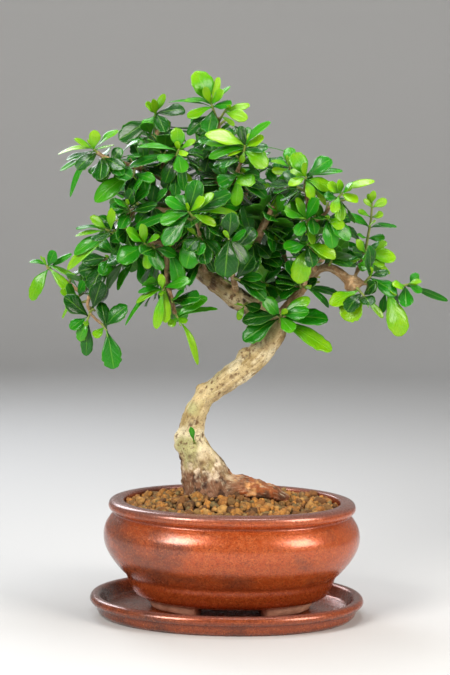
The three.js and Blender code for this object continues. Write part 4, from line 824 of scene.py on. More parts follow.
def grain_pieces():
    """Loose grains on the soil, broken lumps on a jittered grid in three sizes. A lump's
    radius along n is the least of c / (n . f) over its fourteen facets f, softened, with
    c from 0.74 to 1, then dented by noise."""
    rng = np.random.default_rng(7)
    shape, shape_faces = icosphere(2, 1)
    wood = np.concatenate([FINE_LINES["trunk"], FINE_LINES["surface_root"]])
    layers = []
    sizes = ((6.8, 2.4, 3.6, 1.2, 1), (5.0, 1.3, 2.3, -1.0, 0.42), (9.0, 3.2, 4.3, -0.5, 0.3))
    for pitch_mm, low, high, sink, kept in sizes:
        across = np.arange(-90, 96, pitch_mm)
        x, y = np.meshgrid(across, np.arange(-66, 67, pitch_mm * 0.88))
        x = x + (np.arange(len(x)) % 2)[:, None] * pitch_mm / 2
        spots = np.stack([x.ravel(), y.ravel()], -1)
        spots = spots + rng.uniform(-0.3, 0.3, spots.shape) * pitch_mm
        radius = rng.uniform(low, high, len(spots))
        reach = np.array(SOIL_INSIDE) - radius[:, None]
        inside = ((np.abs(spots - [POT_X, 0]) / reach) ** 2.1).sum(-1) < 1
        keep = inside & (rng.random(len(spots)) < kept)
        spots, radius = spots[keep], radius[keep]
        z = soil_height(*spots.T) - sink - 0.9 + rng.uniform(-1.3, 1.1, len(spots))
        centre = np.concatenate([spots, z[:, None]], -1)
        away = np.linalg.norm(centre[:, None] - wood[None, :, :3], axis=2) - wood[None, :, 3]
        free = away.min(axis=1) > radius * 0.45
        layers.append((centre[free], radius[free]))
    made = []
    for index, (centre, radius) in enumerate(layers):
        count = len(centre)
        facets = unit(rng.normal(size=(count, 14, 3)))
        heights = rng.uniform(0.74, 1.0, (count, 14, 1))
        toward = np.einsum("nfi,ki->nfk", facets, shape)
        limits = heights / np.maximum(toward, 0.12)
        size = np.minimum((limits**-9).sum(axis=1) ** (-1 / 9), 1.25)
        flat = (shape[None] + np.arange(count)[:, None, None] * 7.31 + index * 3.7).reshape(-1, 3)
        dent = 1.12 + (0.1 * noise(flat, 0.7, 5) + 0.07 * noise(flat, 0.32, 6)).reshape(count, -1)
        lumps = shape[None] * (size * dent * radius[:, None])[..., None]
        points = (centre[:, None] + lumps).reshape(-1, 3)
        faces = (shape_faces[None] + (np.arange(count) * len(shape))[:, None, None]).reshape(-1, 3)
        shade = np.repeat(rng.random(count), len(shape))
        # how deep each point lies below the mean top, for the grains' painted shade
        deep = soil_height(points[:, 0], points[:, 1]) - 0.9 - points[:, 2]
        depth = np.clip(deep / 4.2, 0, 0.92)
        marks = np.stack([shade, depth, shade * 0], -1)
        made.append((points, faces.tolist(), marks))
    return made


names = ("soil_grains", "soil_grains_small", "soil_grains_large")
for name, (points, faces, marks) in zip(names, grain_pieces()):
    piece(name, points, faces, [GRAINS], (), "baked_clay_grains", ("grain", marks))


# The leafy sprays: waxy leaves that grow on short green stems at the limbs' ends, laid out
# by the CAD part's own rule: table leaves first, then leaves by the golden angle, each moved
# a little where it would cross another. The crown's inside and back are filled afterwards.

# Leafy sprays: the twig from inside its limb to its tip, as [across, down, depth]; how many
# leaves the rule adds round it; and its leaves as [foot across, foot down, tip across, tip
# down, width in mm, how far it leans to the camera from -1 to 1, age from 0 for old to 1
# for young, roll in degrees], with its arch as a ninth value where that isn't drawn.
SPRAYS = {
    "left_high_tip": ([[99, 154, -29], [94, 149, -32]], 0, [
        [94, 150, 58, 154, 8, 0.3, 0.95, 30, 0.8], [93, 148, 95, 130, 9, 0.4, 0.9, 0],
        [95, 148, 114, 145, 6, 0.3, 0.9, 30], [96, 146, 118, 130, 9, 0.2, 0.8, 25],
        [94, 152, 66, 160, 9, 0.2, 0.3, 25], [96, 153, 60, 171, 8, 0.1, 0.6, 32],
        [97, 154, 77, 169, 12, 0.7, 0.1, 0], [98, 155, 70, 197, 6, 0.3, 0.5, 24, 0.5],
        [93, 148, 74, 139, 6, 0.3, 0.9, 0],
    ]),
    "left_high_middle": ([[114, 161, -25], [109, 168, -32]], 1, [
        [109, 167, 88, 172, 9, 0.2, 0.6, 20], [110, 168, 101, 179, 10, 0.6, 0.1, 0],
        [112, 164, 121, 148, 10, 0.2, 0.3, 0],
    ]),
    "left_high_low": ([[135, 168, -18], [133, 177, -26]], 1, [
        [133, 174, 95, 202, 16, 0.2, 0.7, 0, 0.6], [136, 172, 142, 198, 17, 0.4, 0.15, 0],
        [133, 172, 103, 172, 12, 0.6, 0.1, 10], [134, 171, 120, 157, 10, -0.4, 0.3, 0],
    ]),
    "left_middle_tip": ([[120, 236, -43], [105, 229, -47]], 0, [
        [103, 228, 76, 228, 8, 0.2, 0.5, 32], [104, 230, 75, 236, 6, 0.5, 0.85, 20],
        [104, 228, 90, 217, 8, 0.5, 0.9, 0], [106, 227, 112, 208, 8, 0.4, 0.9, 20],
        [107, 231, 74, 254, 11, 0.1, 0.6, 0], [113, 234, 67, 270, 12, 0.3, 0.88, 15, 0.6],
        [110, 231, 116, 246, 11, -0.6, 0.1, 0],
    ]),
    "left_middle_up": ([[131, 214, -33], [127, 206, -38]], 1, [
        [128, 206, 110, 210, 11, 0.4, 0.35, 0], [129, 207, 132, 191, 13, 0.5, 0.12, 0],
        [131, 208, 148, 190, 9, 0.2, 0.35, 20], [130, 211, 112, 232, 12, 0.3, 0.5, 0],
        [131, 212, 150, 206, 9, 0.4, 0.1, 0],
    ]),
    "left_end": ([[51, 270, 20], [46, 265, 19]], 0, [
        [47, 267, 30, 262, 8, 0.4, 0.6, 30, 0.8], [48, 268, 55, 251, 10, 0.4, 0.45, 0],
        [52, 269, 72, 254, 7, 0.3, 0.5, 10], [50, 271, 31, 300, 12, 0.3, 0.85, 0, 0.6],
        [51, 270, 70, 292, 8, 0.4, 0.9, 0], [52, 269, 77, 278, 8, 0.3, 0.85, 20],
    ]),
    "left_fork": ([[86, 291, 13], [78, 297, 6]], 0, [
        [79, 296, 60, 291, 7, 0.4, 0.85, 0], [79, 298, 62, 318, 6, 0.3, 0.9, 30],
        [82, 295, 100, 288, 10, 0.5, 0.15, 0], [79, 296, 84, 281, 9, 0.5, 0.4, 0],
    ]),
    "left_drop_middle": ([[90, 313, -6], [87, 321, -10]], 0, [
        [89, 315, 64, 297, 16, 0.3, 0.12, 0], [88, 317, 70, 329, 11, 0.2, 0.5, 15],
        [87, 321, 79, 341, 9, 0.5, 0.7, 0, 0.7], [89, 321, 86, 356, 10, 0.1, 0.3, 10],
    ]),
    "left_drop_tip": ([[102, 324, -13], [107, 331, -17]], 0, [
        [106, 326, 127, 306, 14, 0.4, 0.3, 0], [103, 325, 101, 302, 10, -0.4, 0.15, 0],
        [106, 331, 114, 369, 16, 0.1, 0.45, 0], [104, 329, 94, 337, 8, 0.4, 0.9, 0],
    ]),
    "left_low_outer": ([[113, 258, 10], [107, 257, 2]], 1, [
        [108, 256, 82, 262, 12, 0.4, 0.1, 0], [107, 259, 90, 290, 17, 0.2, 0.1, 0],
        [112, 259, 103, 275, 12, 0.6, 0.5, 0], [109, 255, 122, 245, 9, 0.3, 0.3, 0],
    ]),
    "left_low_middle": ([[139, 252, 12], [134, 259, 3]], 1, [
        [133, 260, 117, 290, 9, 0.1, 0.6, 32], [134, 260, 155, 287, 18, 0.3, 0.5, 0],
        [137, 256, 121, 262, 12, 0.2, 0.4, 0],
    ]),
    "top_left_tip": ([[155, 124, 22], [156, 112, 20]], 0, [
        [157, 112, 165, 94, 7, 0.4, 0.9, 0], [155, 112, 146, 103, 8, 0.5, 0.85, 0],
        [156, 115, 144, 127, 9, 0.7, 0.7, 0], [154, 114, 119, 140, 17, 0, 0.12, 0],
        [158, 115, 165, 132, 12, 0.7, 0.2, 0], [158, 113, 185, 110, 12, -0.4, 0.15, 0],
        [156, 111, 153, 99, 6, 0.6, 0.95, 0],
    ]),
    "top_left_low": ([[157, 138, 18], [152, 140, 24]], 3, [
        [153, 139, 129, 143, 12, 0.3, 0.08, 0], [156, 138, 170, 145, 10, 0.5, 0.3, 0],
    ]),
    "front_fork": ([[176, 157, -29], [179, 149, -33]], 0, [
        [179, 148, 177, 128, 11, 0.3, 0.8, 0], [177, 150, 137, 147, 9, 0.2, 0.6, 25, 0.5],
        [176, 153, 128, 168, 11, 0.1, 0.35, 25], [177, 154, 158, 160, 9, 0.5, 0.55, 0],
        [181, 148, 195, 140, 6, 0.5, 0.85, 0], [180, 149, 186, 156, 7, 0.8, 0.98, 0],
        [178, 154, 182, 173, 12, 0.6, 0.65, 0], [178, 156, 165, 183, 13, -0.2, 0.1, 0],
        [180, 154, 184, 191, 8, -0.1, 0.3, 0],
    ]),
    "fork_low": ([[170, 163, -20], [176, 171, -29]], 0, [
        [176, 171, 176, 198, 9, 0.3, 0.35, 0], [178, 171, 192, 181, 7, 0.4, 0.85, 0],
        [175, 170, 166, 190, 12, 0.2, 0.12, 0],
    ]),
    "top_tip": ([[217, 120, 4], [211, 103, -2]], 0, [
        [209, 101, 195, 72, 19, 0.2, 0.82, 0], [211, 101, 219, 77, 6, 0.2, 1, 0],
        [210, 102, 204, 87, 7, 0.8, 1, 0], [212, 102, 230, 86, 7, 0.3, 0.75, 30],
        [213, 104, 223, 90, 9, 0.6, 0.85, 0], [214, 106, 232, 104, 10, 0.3, 0.5, 0],
        [209, 103, 185, 100, 9, 0.4, 0.7, 25, 0.7], [210, 106, 169, 102, 6, 0.1, 0.6, 30, 0.4],
        [211, 108, 187, 117, 10, 0.4, 0.85, 0], [213, 111, 208, 133, 14, 0.6, 0.3, 0],
        [213, 113, 187, 134, 11, 0.2, 0.2, 0],
    ]),
    "top_side": ([[217, 124, 5], [226, 109, -5]], 0, [
        [226, 109, 250, 105, 8, 0.3, 0.9, 0], [225, 111, 247, 119, 10, 0.5, 0.9, 0],
        [224, 114, 234, 126, 7, 0.5, 0.9, 25, 0.7],
    ]),
    "leader_side_tip": ([[243, 155, -36], [245, 145, -40]], 0, [
        [243, 144, 205, 135, 16, 0.3, 1, 10, 0.9], [243, 146, 205, 144, 12, 0, 0.7, 25, 0.6],
        [243, 149, 209, 157, 11, 0.3, 0.65, 10, 0.7], [243, 151, 228, 156, 6, 0.6, 0.95, 20, 0.6],
        [244, 145, 240, 126, 8, -0.2, 0.15, 0], [245, 144, 249, 127, 7, 0.1, 0.4, 0],
        [246, 144, 270, 122, 9, 0.1, 0.65, 30, 0.8], [246, 146, 264, 137, 9, 0.5, 0.98, 0],
        [247, 148, 268, 148, 11, 0.3, 0.3, 0], [246, 151, 267, 166, 15, 0.4, 0.85, 0, 0.6],
        [246, 149, 284, 151, 8, -0.1, 0.6, 32, 0.7], [244, 152, 241, 163, 5, 0.4, 0.95, 0],
    ]),
    "leader_side_low": ([[235, 177, -25], [243, 172, -34]], 1, [
        [242, 172, 248, 186, 14, 0.8, 0.8, 0], [239, 175, 229, 155, 10, -0.3, 0.05, 0],
        [238, 176, 236, 206, 10, 0.3, 0.8, 0], [237, 176, 218, 184, 14, 0.3, 0.4, 0],
        [241, 172, 260, 176, 10, -0.3, 0.2, 0],
    ]),
    "leader_middle": ([[217, 151, 13], [210, 143, 6]], 3, [
        [210, 144, 194, 157, 14, 0.4, 0.1, 0], [213, 148, 205, 172, 15, 0.2, 0.1, 0],
        [211, 142, 201, 134, 9, 0.3, 0.3, 0],
    ]),
    "inner_tip": ([[289, 175, 12], [290, 166, 8]], 1, [
        [289, 167, 271, 161, 7, 0.4, 0.8, 20, 0.7], [290, 165, 296, 156, 7, 0.3, 0.85, 0],
        [289, 169, 272, 172, 8, 0.6, 0.95, 0], [289, 171, 299, 182, 9, 0.3, 0.8, 0],
    ]),
    "inner_middle": ([[287, 200, 16], [279, 189, 7]], 0, [
        [279, 190, 276, 211, 13, 0.3, 0.9, 0], [281, 191, 298, 191, 13, 0.3, 0.2, 0],
        [278, 188, 256, 184, 6, 0.2, 0.85, 0], [279, 188, 267, 169, 8, 0.1, 0.5, 0],
        [279, 188, 286, 172, 7, 0.4, 0.6, 0], [284, 196, 296, 207, 12, 0, 0.15, 0],
    ]),
    "inner_low": ([[284, 244, 18], [277, 243, 8]], 2, [
        [278, 244, 263, 258, 17, 0.3, 0.15, 0], [279, 243, 276, 211, 13, -0.1, 0.1, 0],
        [280, 243, 293, 229, 10, 0.2, 0.3, 0],
    ]),
    "right_upright_tip": ([[305, 184, -30], [306, 176, -33]], 0, [
        [306, 176, 294, 153, 14, 0.1, 0.82, 0], [308, 176, 331, 159, 14, 0.2, 0.4, 0],
        [308, 178, 343, 171, 9, 0.1, 0.5, 25, 0.5], [308, 179, 335, 191, 12, 0.4, 0.9, 0, 0.7],
        [305, 177, 291, 170, 10, 0.4, 0.88, 10, 0.8], [305, 179, 289, 186, 10, 0.5, 0.9, 15, 0.9],
        [306, 176, 303, 163, 7, 0.8, 0.95, 0], [307, 181, 313, 199, 8, 0.6, 0.9, 0],
        [308, 181, 326, 205, 7, 0.2, 0.95, 25], [307, 180, 334, 199, 9, -0.3, 0.35, 0],
    ]),
    "right_side_tip": ([[336, 200, -39], [343, 192, -42]], 0, [
        [343, 192, 375, 181, 9, 0.1, 0.97, 20, 0.6], [342, 192, 352, 184, 10, 0.7, 0.75, 0],
        [341, 193, 339, 180, 6, 0.5, 0.9, 0], [342, 195, 358, 202, 11, 0.3, 1, 15, 0.7],
        [339, 198, 341, 221, 9, 0.4, 0.88, 0], [340, 195, 328, 184, 10, 0.3, 0.88, 0],
        [338, 199, 324, 196, 9, 0.2, 0.35, 0], [338, 199, 333, 213, 8, 0.6, 0.9, 0],
    ]),
    "right_side_middle": ([[323, 216, -32], [327, 219, -39]], 0, [
        [325, 219, 333, 248, 13, 0.4, 0.5, 0, 0.6], [328, 219, 350, 240, 13, 0.3, 0.5, 0, 0.6],
        [327, 217, 339, 208, 8, 0.4, 0.8, 0], [327, 218, 344, 227, 10, 0.6, 0.9, 0],
    ]),
    "right_upright_middle": ([[311, 226, -25], [305, 219, -33]], 0, [
        [306, 220, 285, 206, 13, 0.3, 0.7, 0], [305, 221, 297, 235, 10, 0.6, 0.5, 0],
        [308, 223, 313, 244, 8, 0.4, 0.85, 25], [307, 219, 318, 198, 11, 0.2, 0.5, 0],
        [308, 222, 300, 241, 11, -0.2, 0.05, 0], [306, 219, 296, 198, 9, -0.2, 0.8, 0],
    ]),
    "right_upright_low": ([[312, 251, -19], [307, 244, -27]], 0, [
        [309, 244, 336, 257, 12, 0.2, 0.9, 0, 0.5], [306, 245, 284, 249, 14, 0.3, 0.5, 0],
        [306, 247, 297, 283, 16, 0.3, 0.88, 0], [309, 247, 313, 267, 11, -0.2, 0.15, 0],
        [309, 246, 326, 259, 6, 0.3, 0.85, 0],
    ]),
    "outer_stem": ([[365, 253, 10], [368, 236, 8], [371, 219, 7], [372, 203, 7]], 0, [
        [372, 203, 364, 199, 5, 0.4, 0.97, 0], [372, 203, 373, 191, 6, 0.4, 1, 0],
        [373, 204, 387, 200, 8, 0.2, 0.97, 0], [371, 213, 358, 210, 5, 0.3, 0.85, 0],
        [372, 214, 383, 214, 7, 0.3, 0.95, 0], [369, 229, 346, 214, 8, 0.1, 0.5, 0, 0.9],
        [371, 224, 397, 227, 9, 0.2, 0.4, 25, 0.6], [369, 231, 374, 222, 8, 0.7, 0.95, 0],
        [368, 239, 357, 235, 6, 0.3, 0.7, 20], [368, 240, 385, 238, 8, 0.3, 0.6, 0],
    ]),
    "outer_low": ([[363, 260, 4], [368, 252, -3]], 0, [
        [369, 253, 396, 259, 13, 0.2, 0.9, 0, 0.5], [368, 252, 379, 243, 8, 0.7, 0.3, 0],
        [367, 255, 384, 266, 9, 0.5, 0.85, 0], [367, 252, 356, 240, 8, 0.4, 0.88, 0],
        [366, 254, 353, 252, 11, 0.6, 0.1, 0], [365, 256, 336, 257, 11, 0.1, 0.5, 0],
        [365, 257, 363, 271, 9, 0.7, 0.7, 0], [368, 251, 387, 242, 8, 0, 0.88, 0],
        [367, 253, 336, 243, 9, -0.4, 0.5, 0], [365, 258, 342, 265, 6, 0.3, 0.9, 0, 0.5],
        [366, 257, 390, 274, 6, 0, 0.9, 20],
    ]),
    "right_fork": ([[364, 284, -13], [371, 276, -19]], 1, [
        [372, 276, 396, 295, 13, 0.2, 0.4, 0], [371, 277, 376, 291, 12, 0, 0.08, 0],
        [371, 275, 389, 272, 8, 0.3, 0.1, 0],
    ]),
    "right_low": ([[356, 287, -14], [365, 297, -22]], 0, [
        [366, 298, 344, 320, 18, 0.2, 0.95, 0], [361, 293, 347, 311, 13, 0.7, 0.12, 0],
        [359, 291, 330, 305, 13, -0.1, 0.9, 0], [366, 299, 383, 318, 6, 0.3, 0.9, 0],
        [364, 295, 370, 305, 12, 0.9, 0.1, 0], [366, 297, 375, 283, 12, 0.5, 0.08, 0],
    ]),
    "far_middle": ([[383, 284, -14], [387, 292, -19]], 0, [
        [388, 292, 402, 336, 18, 0, 0.9, 0], [386, 293, 382, 313, 7, 0.4, 0.4, 30],
        [387, 291, 399, 302, 10, -0.3, 0.2, 0],
    ]),
    "far_tip": ([[402, 286, -14], [409, 284, -14]], 0, [
        [405, 285, 419, 275, 9, 0.3, 0.45, 0], [405, 286, 394, 286, 10, 0.5, 0.9, 0],
        [409, 285, 422, 292, 7, 0.3, 0.5, 0], [410, 285, 448, 301, 7, 0, 0.2, 0],
        [409, 284, 421, 282, 6, 0.6, 0.88, 20, 0.7], [407, 286, 406, 307, 12, 0.3, 0.4, 0],
    ]),
    "turn_front": ([[279, 323, 0], [281, 314, -16]], 0, [
        [282, 314, 310, 298, 11, 0.3, 0.8, 0], [283, 315, 309, 312, 12, 0.6, 0.5, 0],
        [283, 316, 328, 319, 15, 0, 0.4, 0], [281, 318, 293, 332, 12, 0.5, 0.75, 0],
        [284, 318, 332, 351, 15, 0, 0.85, 0], [280, 313, 264, 299, 13, 0.4, 0.6, 0],
        [279, 316, 242, 321, 15, 0.1, 0.15, 0], [279, 318, 243, 341, 17, 0.1, 0.35, 10],
    ]),
    "turn_left": ([[250, 301, 8], [243, 306, -8]], 0, [
        [244, 306, 238, 320, 6, 0.3, 0.9, 0], [247, 303, 231, 278, 7, -0.1, 0.6, 20],
        [245, 304, 260, 309, 11, 0.4, 0.1, 0],
    ]),
    "centre_front": ([[262, 287, 14], [265, 283, -5]], 0, [
        [266, 284, 272, 301, 15, 0.5, 0.2, 0], [267, 282, 279, 260, 13, 0.2, 0.35, 0],
        [267, 284, 289, 295, 12, 0, 0.75, 0], [265, 283, 257, 264, 17, 0.2, 0.8, 0],
        [264, 285, 247, 280, 13, 0.6, 0.05, 0], [264, 286, 247, 303, 14, 0.2, 0.08, 0],
        [268, 284, 296, 290, 11, 0.4, 0.1, 0],
    ]),
    "limb_front": ([[303, 285, -4], [306, 289, -13]], 0, [
        [307, 290, 329, 307, 8, 0.2, 0.35, 20, 0.7], [307, 288, 340, 295, 12, -0.1, 0.3, 0],
        [306, 287, 317, 280, 9, 0.3, 0.1, 0],
    ]),
    "middle_front": ([[229, 250, -49], [229, 238, -54]], 1, [
        [229, 239, 225, 277, 19, 0.1, 0.15, 0], [229, 237, 231, 213, 14, 0.3, 0.15, 0],
        [231, 240, 247, 263, 12, 0, 0.15, 0], [230, 237, 246, 231, 8, 0.5, 0.4, 0],
    ]),
    "stem_front": ([[195, 219, -53], [188, 211, -58]], 0, [
        [188, 210, 165, 199, 11, 0.3, 0.5, 0], [188, 212, 160, 222, 11, 0.4, 0.6, 0],
        [190, 211, 204, 200, 12, 0.9, 0.9, 0], [190, 210, 198, 180, 15, 0.3, 0.3, 0],
        [191, 212, 231, 193, 17, 0, 0.25, 0], [191, 213, 237, 213, 8, 0, 0.85, 0, 0.5],
        [192, 215, 216, 225, 8, 0.4, 0.88, 0, 0.5], [190, 215, 163, 245, 14, 0.1, 0.4, 0],
        [189, 213, 133, 229, 10, -0.2, 0.35, 20], [190, 210, 213, 193, 8, 0.5, 0.85, 0],
    ]),
    "stem_low": ([[201, 240, -39], [196, 235, -46]], 0, [
        [197, 236, 186, 268, 17, 0.2, 0.5, 0], [199, 237, 214, 271, 9, 0.2, 0.15, 0],
        [198, 235, 212, 220, 11, 0.3, 0.1, 0],
    ]),
    "centre_dark": ([[258, 242, -6], [250, 243, -20]], 2, [
        [250, 244, 254, 262, 12, 0.5, 0.1, 0], [251, 242, 243, 205, 10, 0.1, 0.25, 0],
        [254, 243, 270, 257, 12, 0.5, 0.12, 0],
    ]),
    "hanging_side": ([[149, 246, -44], [144, 243, -48]], 0, [
        [145, 244, 118, 262, 17, 0.3, 0.5, 0], [144, 242, 126, 230, 12, 0.3, 0.78, 0],
        [145, 242, 142, 224, 7, 0.4, 0.85, 0], [147, 244, 159, 236, 9, 0.5, 0.75, 20, 0.8],
        [147, 246, 148, 269, 8, 0.3, 0.85, 0], [148, 245, 163, 270, 11, -0.2, 0.5, 0],
    ]),
    "hanging_top": ([[167, 252, -33], [170, 247, -40]], 0, [
        [171, 248, 182, 291, 12, 0, 0.55, 0], [170, 247, 182, 267, 8, 0.5, 0.4, 20],
    ]),
    "hanging_middle": ([[168, 282, -36], [162, 291, -41]], 0, [
        [162, 292, 136, 303, 9, 0.3, 0.85, 25, 0.9], [162, 290, 138, 292, 8, -0.1, 0.5, 25, 0.7],
        [162, 292, 125, 325, 7, 0, 0.55, 25, 0.8], [163, 292, 156, 329, 8, 0.1, 0.85, 0],
        [163, 292, 166, 323, 9, -0.1, 1, 0], [163, 289, 161, 274, 6, 0.4, 0.95, 0],
        [165, 288, 190, 280, 9, 0.1, 0.6, 0],
    ]),
    "hanging_tip": ([[175, 312, -32], [178, 319, -34]], 0, [
        [176, 314, 161, 308, 9, 0.3, 0.2, 0], [178, 315, 207, 297, 11, 0.1, 0.6, 0, 0.5],
        [178, 317, 218, 309, 9, -0.2, 0.65, 25, 0.9],
        [179, 320, 198, 365, 7, -0.1, 0.97, 30, 0.6], [177, 319, 169, 326, 7, 0.6, 0.85, 0],
        [179, 318, 186, 323, 7, 0.7, 0.85, 0],
    ]),
    "sprout": ([[196, 446, 6], [194, 441, -5]], 0, [[194, 441, 190.5, 427, 4.5, 0.1, 0.62, 0]]),
    "back_left": ([[138, 209, 59], [124, 200, 68]], 8, []),
    "back_left_middle": ([[158, 220, 43], [150, 204, 48]], 8, []),
    "back_middle": ([[231, 219, 65], [236, 204, 74]], 8, []),
    "back_top": ([[201, 154, 47], [196, 141, 54]], 8, []),
    "back_right": ([[324, 258, 57], [337, 250, 68]], 7, []),
    "centre_back": ([[250, 186, 44], [250, 173, 46]], 8, []),
    "centre_back_low": ([[253, 236, 27], [262, 226, 40]], 8, []),
}

# The crown's outline in the photograph, in pixels: leaves that fill the crown by rule
# stay inside it.
CROWN = [
    [132, 166], [122, 150], [140, 118], [156, 104], [180, 106], [200, 112], [214, 122],
    [232, 120], [252, 126], [262, 150], [282, 158], [304, 158], [330, 166], [342, 186],
    [352, 206], [358, 236], [376, 248], [384, 262], [378, 276], [356, 268], [330, 262],
    [318, 264], [306, 284], [284, 306], [268, 310], [252, 292], [238, 276], [216, 270],
    [200, 262], [198, 286], [204, 312], [188, 322], [164, 320], [140, 314], [134, 292],
    [124, 276], [108, 290], [94, 302], [78, 298], [64, 286], [68, 264], [82, 240], [94, 218],
    [112, 206], [100, 192], [88, 176], [86, 160], [104, 146],
]

# A stem's radius at its foot and at its tip, and the CAD leaf's thickness.
STEM_RADIUS = (1.35, 0.85)
LEAF_THICK = 0.45

# The golden angle in degrees, and the steps in depth, in mm, and in roll, in degrees, that
# a leaf tries one after another until it crosses nothing.
GOLDEN = 137.508
TRY_DEPTH = [0, -3, 3, -6, 6, -9, 9, -12, 12, -4, 4, -8]
TRY_ROLL = [0, 0, 0, 12, -12, 0, 0, 15, -15, 35, -35, 50]

# Places on a blade where it is tested: five across, in eleven rows from its foot to its
# tip. The numbers below count them.
SAMPLES = np.array([[0.04 + 0.088 * i, j / 2] for i in range(1, 12) for j in range(-2, 3)])
MIDDLE_SAMPLE = 25
OFF_WOOD = 5  # samples from this one on keep off the wood
OFF_SISTERS = 10  # samples from this one on keep off leaves of the same spray
OUTLINE_SAMPLES = [10, 25, 40, 50, 52, 54]  # these keep inside the crown's outline
WOOD_GAP, STEM_GAP, SISTER_GAP, LEAF_GAP = 1.1, 1.0, 0.9, 1.5  # least distances in mm
MOST_LEAVES = 4000  # room for this many in the arrays of known leaves

# Numbers that seed the draws: each spray has its own stretch of them.
SPRAY_DRAWS = 32
RULED_DRAWS = 16  # where a spray's draws for ruled leaves start
BUD_DRAWS = 27  # where its draws for the buds at its tip start
SHOOT_DRAWS = 5000  # where the draws that place the inner shoots start
FIRST_SHOOT = 200  # the order of the first shoot that fills the crown
SHOOTS_A_PIECE = 24


def draw(seed, turn):
    """A number from 0 to 1, the same for the same two whole numbers: two steps of a
    16-bit linear congruential generator."""
    state = (seed * 7919 + turn * 104729 + 12345) % 65536
    state = (state * 25173 + 13849) % 65536
    return ((state * 25173 + 13849) % 65536) / 65536


def seen_at(point):
    """The place in the photograph, across and down, where the point shows."""
    away = point - EYE
    scale = CAMERA["focal"] / (away @ FORWARD)
    across = CAMERA["across"] + scale * (away @ RIGHT)
    return np.array([across, CAMERA["down"] - scale * (away @ UP)])


def in_crown(point):
    """Whether the point shows inside the crown's outline, by counting the outline's edges
    to the right of it."""
    across, down = seen_at(point)
    a = np.array(CROWN, float)
    b = np.roll(a, -1, axis=0)
    level = (a[:, 1] > down) != (b[:, 1] > down)
    drop = np.where(level, b[:, 1] - a[:, 1], 1)
    crossing = a[:, 0] + (down - a[:, 1]) / drop * (b[:, 0] - a[:, 0])
    return bool((level & (crossing > across)).sum() % 2)


def share(u):
    """The blade's half width at u as a share of the whole: a wedge foot, a broad end."""
    wedge = 0.45 + 0.55 * np.minimum(u / 0.5, 1)
    return np.maximum(np.sin(np.pi * np.minimum(u, 1) ** 1.65), 0) ** 0.55 * wedge


def full_length(width):
    """A leaf's natural length from its width."""
    return 2 * width if width < 6 else 1.15 * width + 10


def spin(vector, axis, angle):
    """The vector turned round the axis, by Rodrigues' formula."""
    turned_part = vector * np.cos(angle) + np.cross(axis, vector) * np.sin(angle)
    return turned_part + axis * (axis @ vector) * (1 - np.cos(angle))


def leaf_frame(foot, tip, facing, width, bend):
    """A leaf that runs from foot to tip, arches by bend and faces along facing."""
    chord = tip - foot
    straight = unit(chord)
    out = unit(facing - straight * (facing @ straight))
    angle = np.arctan(bend)
    along = straight * np.cos(angle) + out * np.sin(angle)
    normal = out * np.cos(angle) - straight * np.sin(angle)
    length = np.linalg.norm(chord) * np.cos(angle)
    frame = {"foot": foot, "along": along, "normal": normal, "side": np.cross(along, normal)}
    return {**frame, "length": length, "width": width, "bend": bend}


def blade_points(leaf, u, v):
    """Points of the blade: u runs from foot to tip, v is in millimetres to the side."""
    arch = -leaf["bend"] * leaf["length"] * u * u
    middle = leaf["foot"] + leaf["along"] * (leaf["length"] * u)[..., None]
    return middle + leaf["normal"] * arch[..., None] + leaf["side"] * v[..., None]


def twig_of(line, stretches):
    """The twig's slots, which one leaf each can grow from: the centre of each of its four
    sides in each stretch, and its end, with the way that it faces."""
    axis = unit(line[-1, :3] - line[0, :3])
    across = np.array([0, 0, 1.0])
    across = unit(across - axis * (across @ axis))
    other = np.cross(axis, across)
    angles = np.pi * (0.25 + 0.5 * np.arange(4))
    out = np.cos(angles)[:, None] * across + np.sin(angles)[:, None] * other
    rings = []
    for i in range(stretches + 1):
        at = i / stretches
        place = min(int(at * (len(line) - 1)), len(line) - 2)
        middle = mixed(line[place, :3], line[place + 1, :3], at * (len(line) - 1) - place)
        rings.append(middle + out * 1.2 * mixed(*STEM_RADIUS, at))
    slots = []
    for i in range(stretches):
        for k in range(4):
            beside = (k + 1) % 4
            near, far = rings[i], rings[i + 1]
            slots.append([near[k], near[beside], far[beside], far[k], i > 0])
    slots.append([*rings[-1], True])
    found = []
    for a, b, c, d, free in slots:
        outward = unit(np.cross(c - a, d - b))
        found.append({"centre": (a + b + c + d) / 4, "outward": outward, "free": free})
    return found


def nearest(line, point):
    """The place on the line that looks nearest to the point from the front."""
    best, least = line[0, :3], np.inf
    for i in range(len(line) - 1):
        along = line[i + 1, :3] - line[i, :3]
        t = (point - line[i, :3]) @ along / (along @ along)
        here = line[i, :3] + along * min(max(t, 0.25 * (i == 0)), 1)
        far = np.hypot(here[0] - point[0], here[2] - point[2])
        if far < least:
            best, least = here, far
    return best


def slotted(slots, foot, tip, facing, width, bend, age):
    """The leaf from the free slot that suits it best: the slot faces along the leaf and
    is near its foot."""
    heading = unit(tip - foot)

    def suits(slot):
        return min(slot["outward"] @ heading, 0.8) - 0.05 * np.linalg.norm(slot["centre"] - foot)

    slot = max((slot for slot in slots if slot["free"]), key=suits)
    return {**leaf_frame(slot["centre"], tip, facing, width, bend), "age": age, "slot": slot}


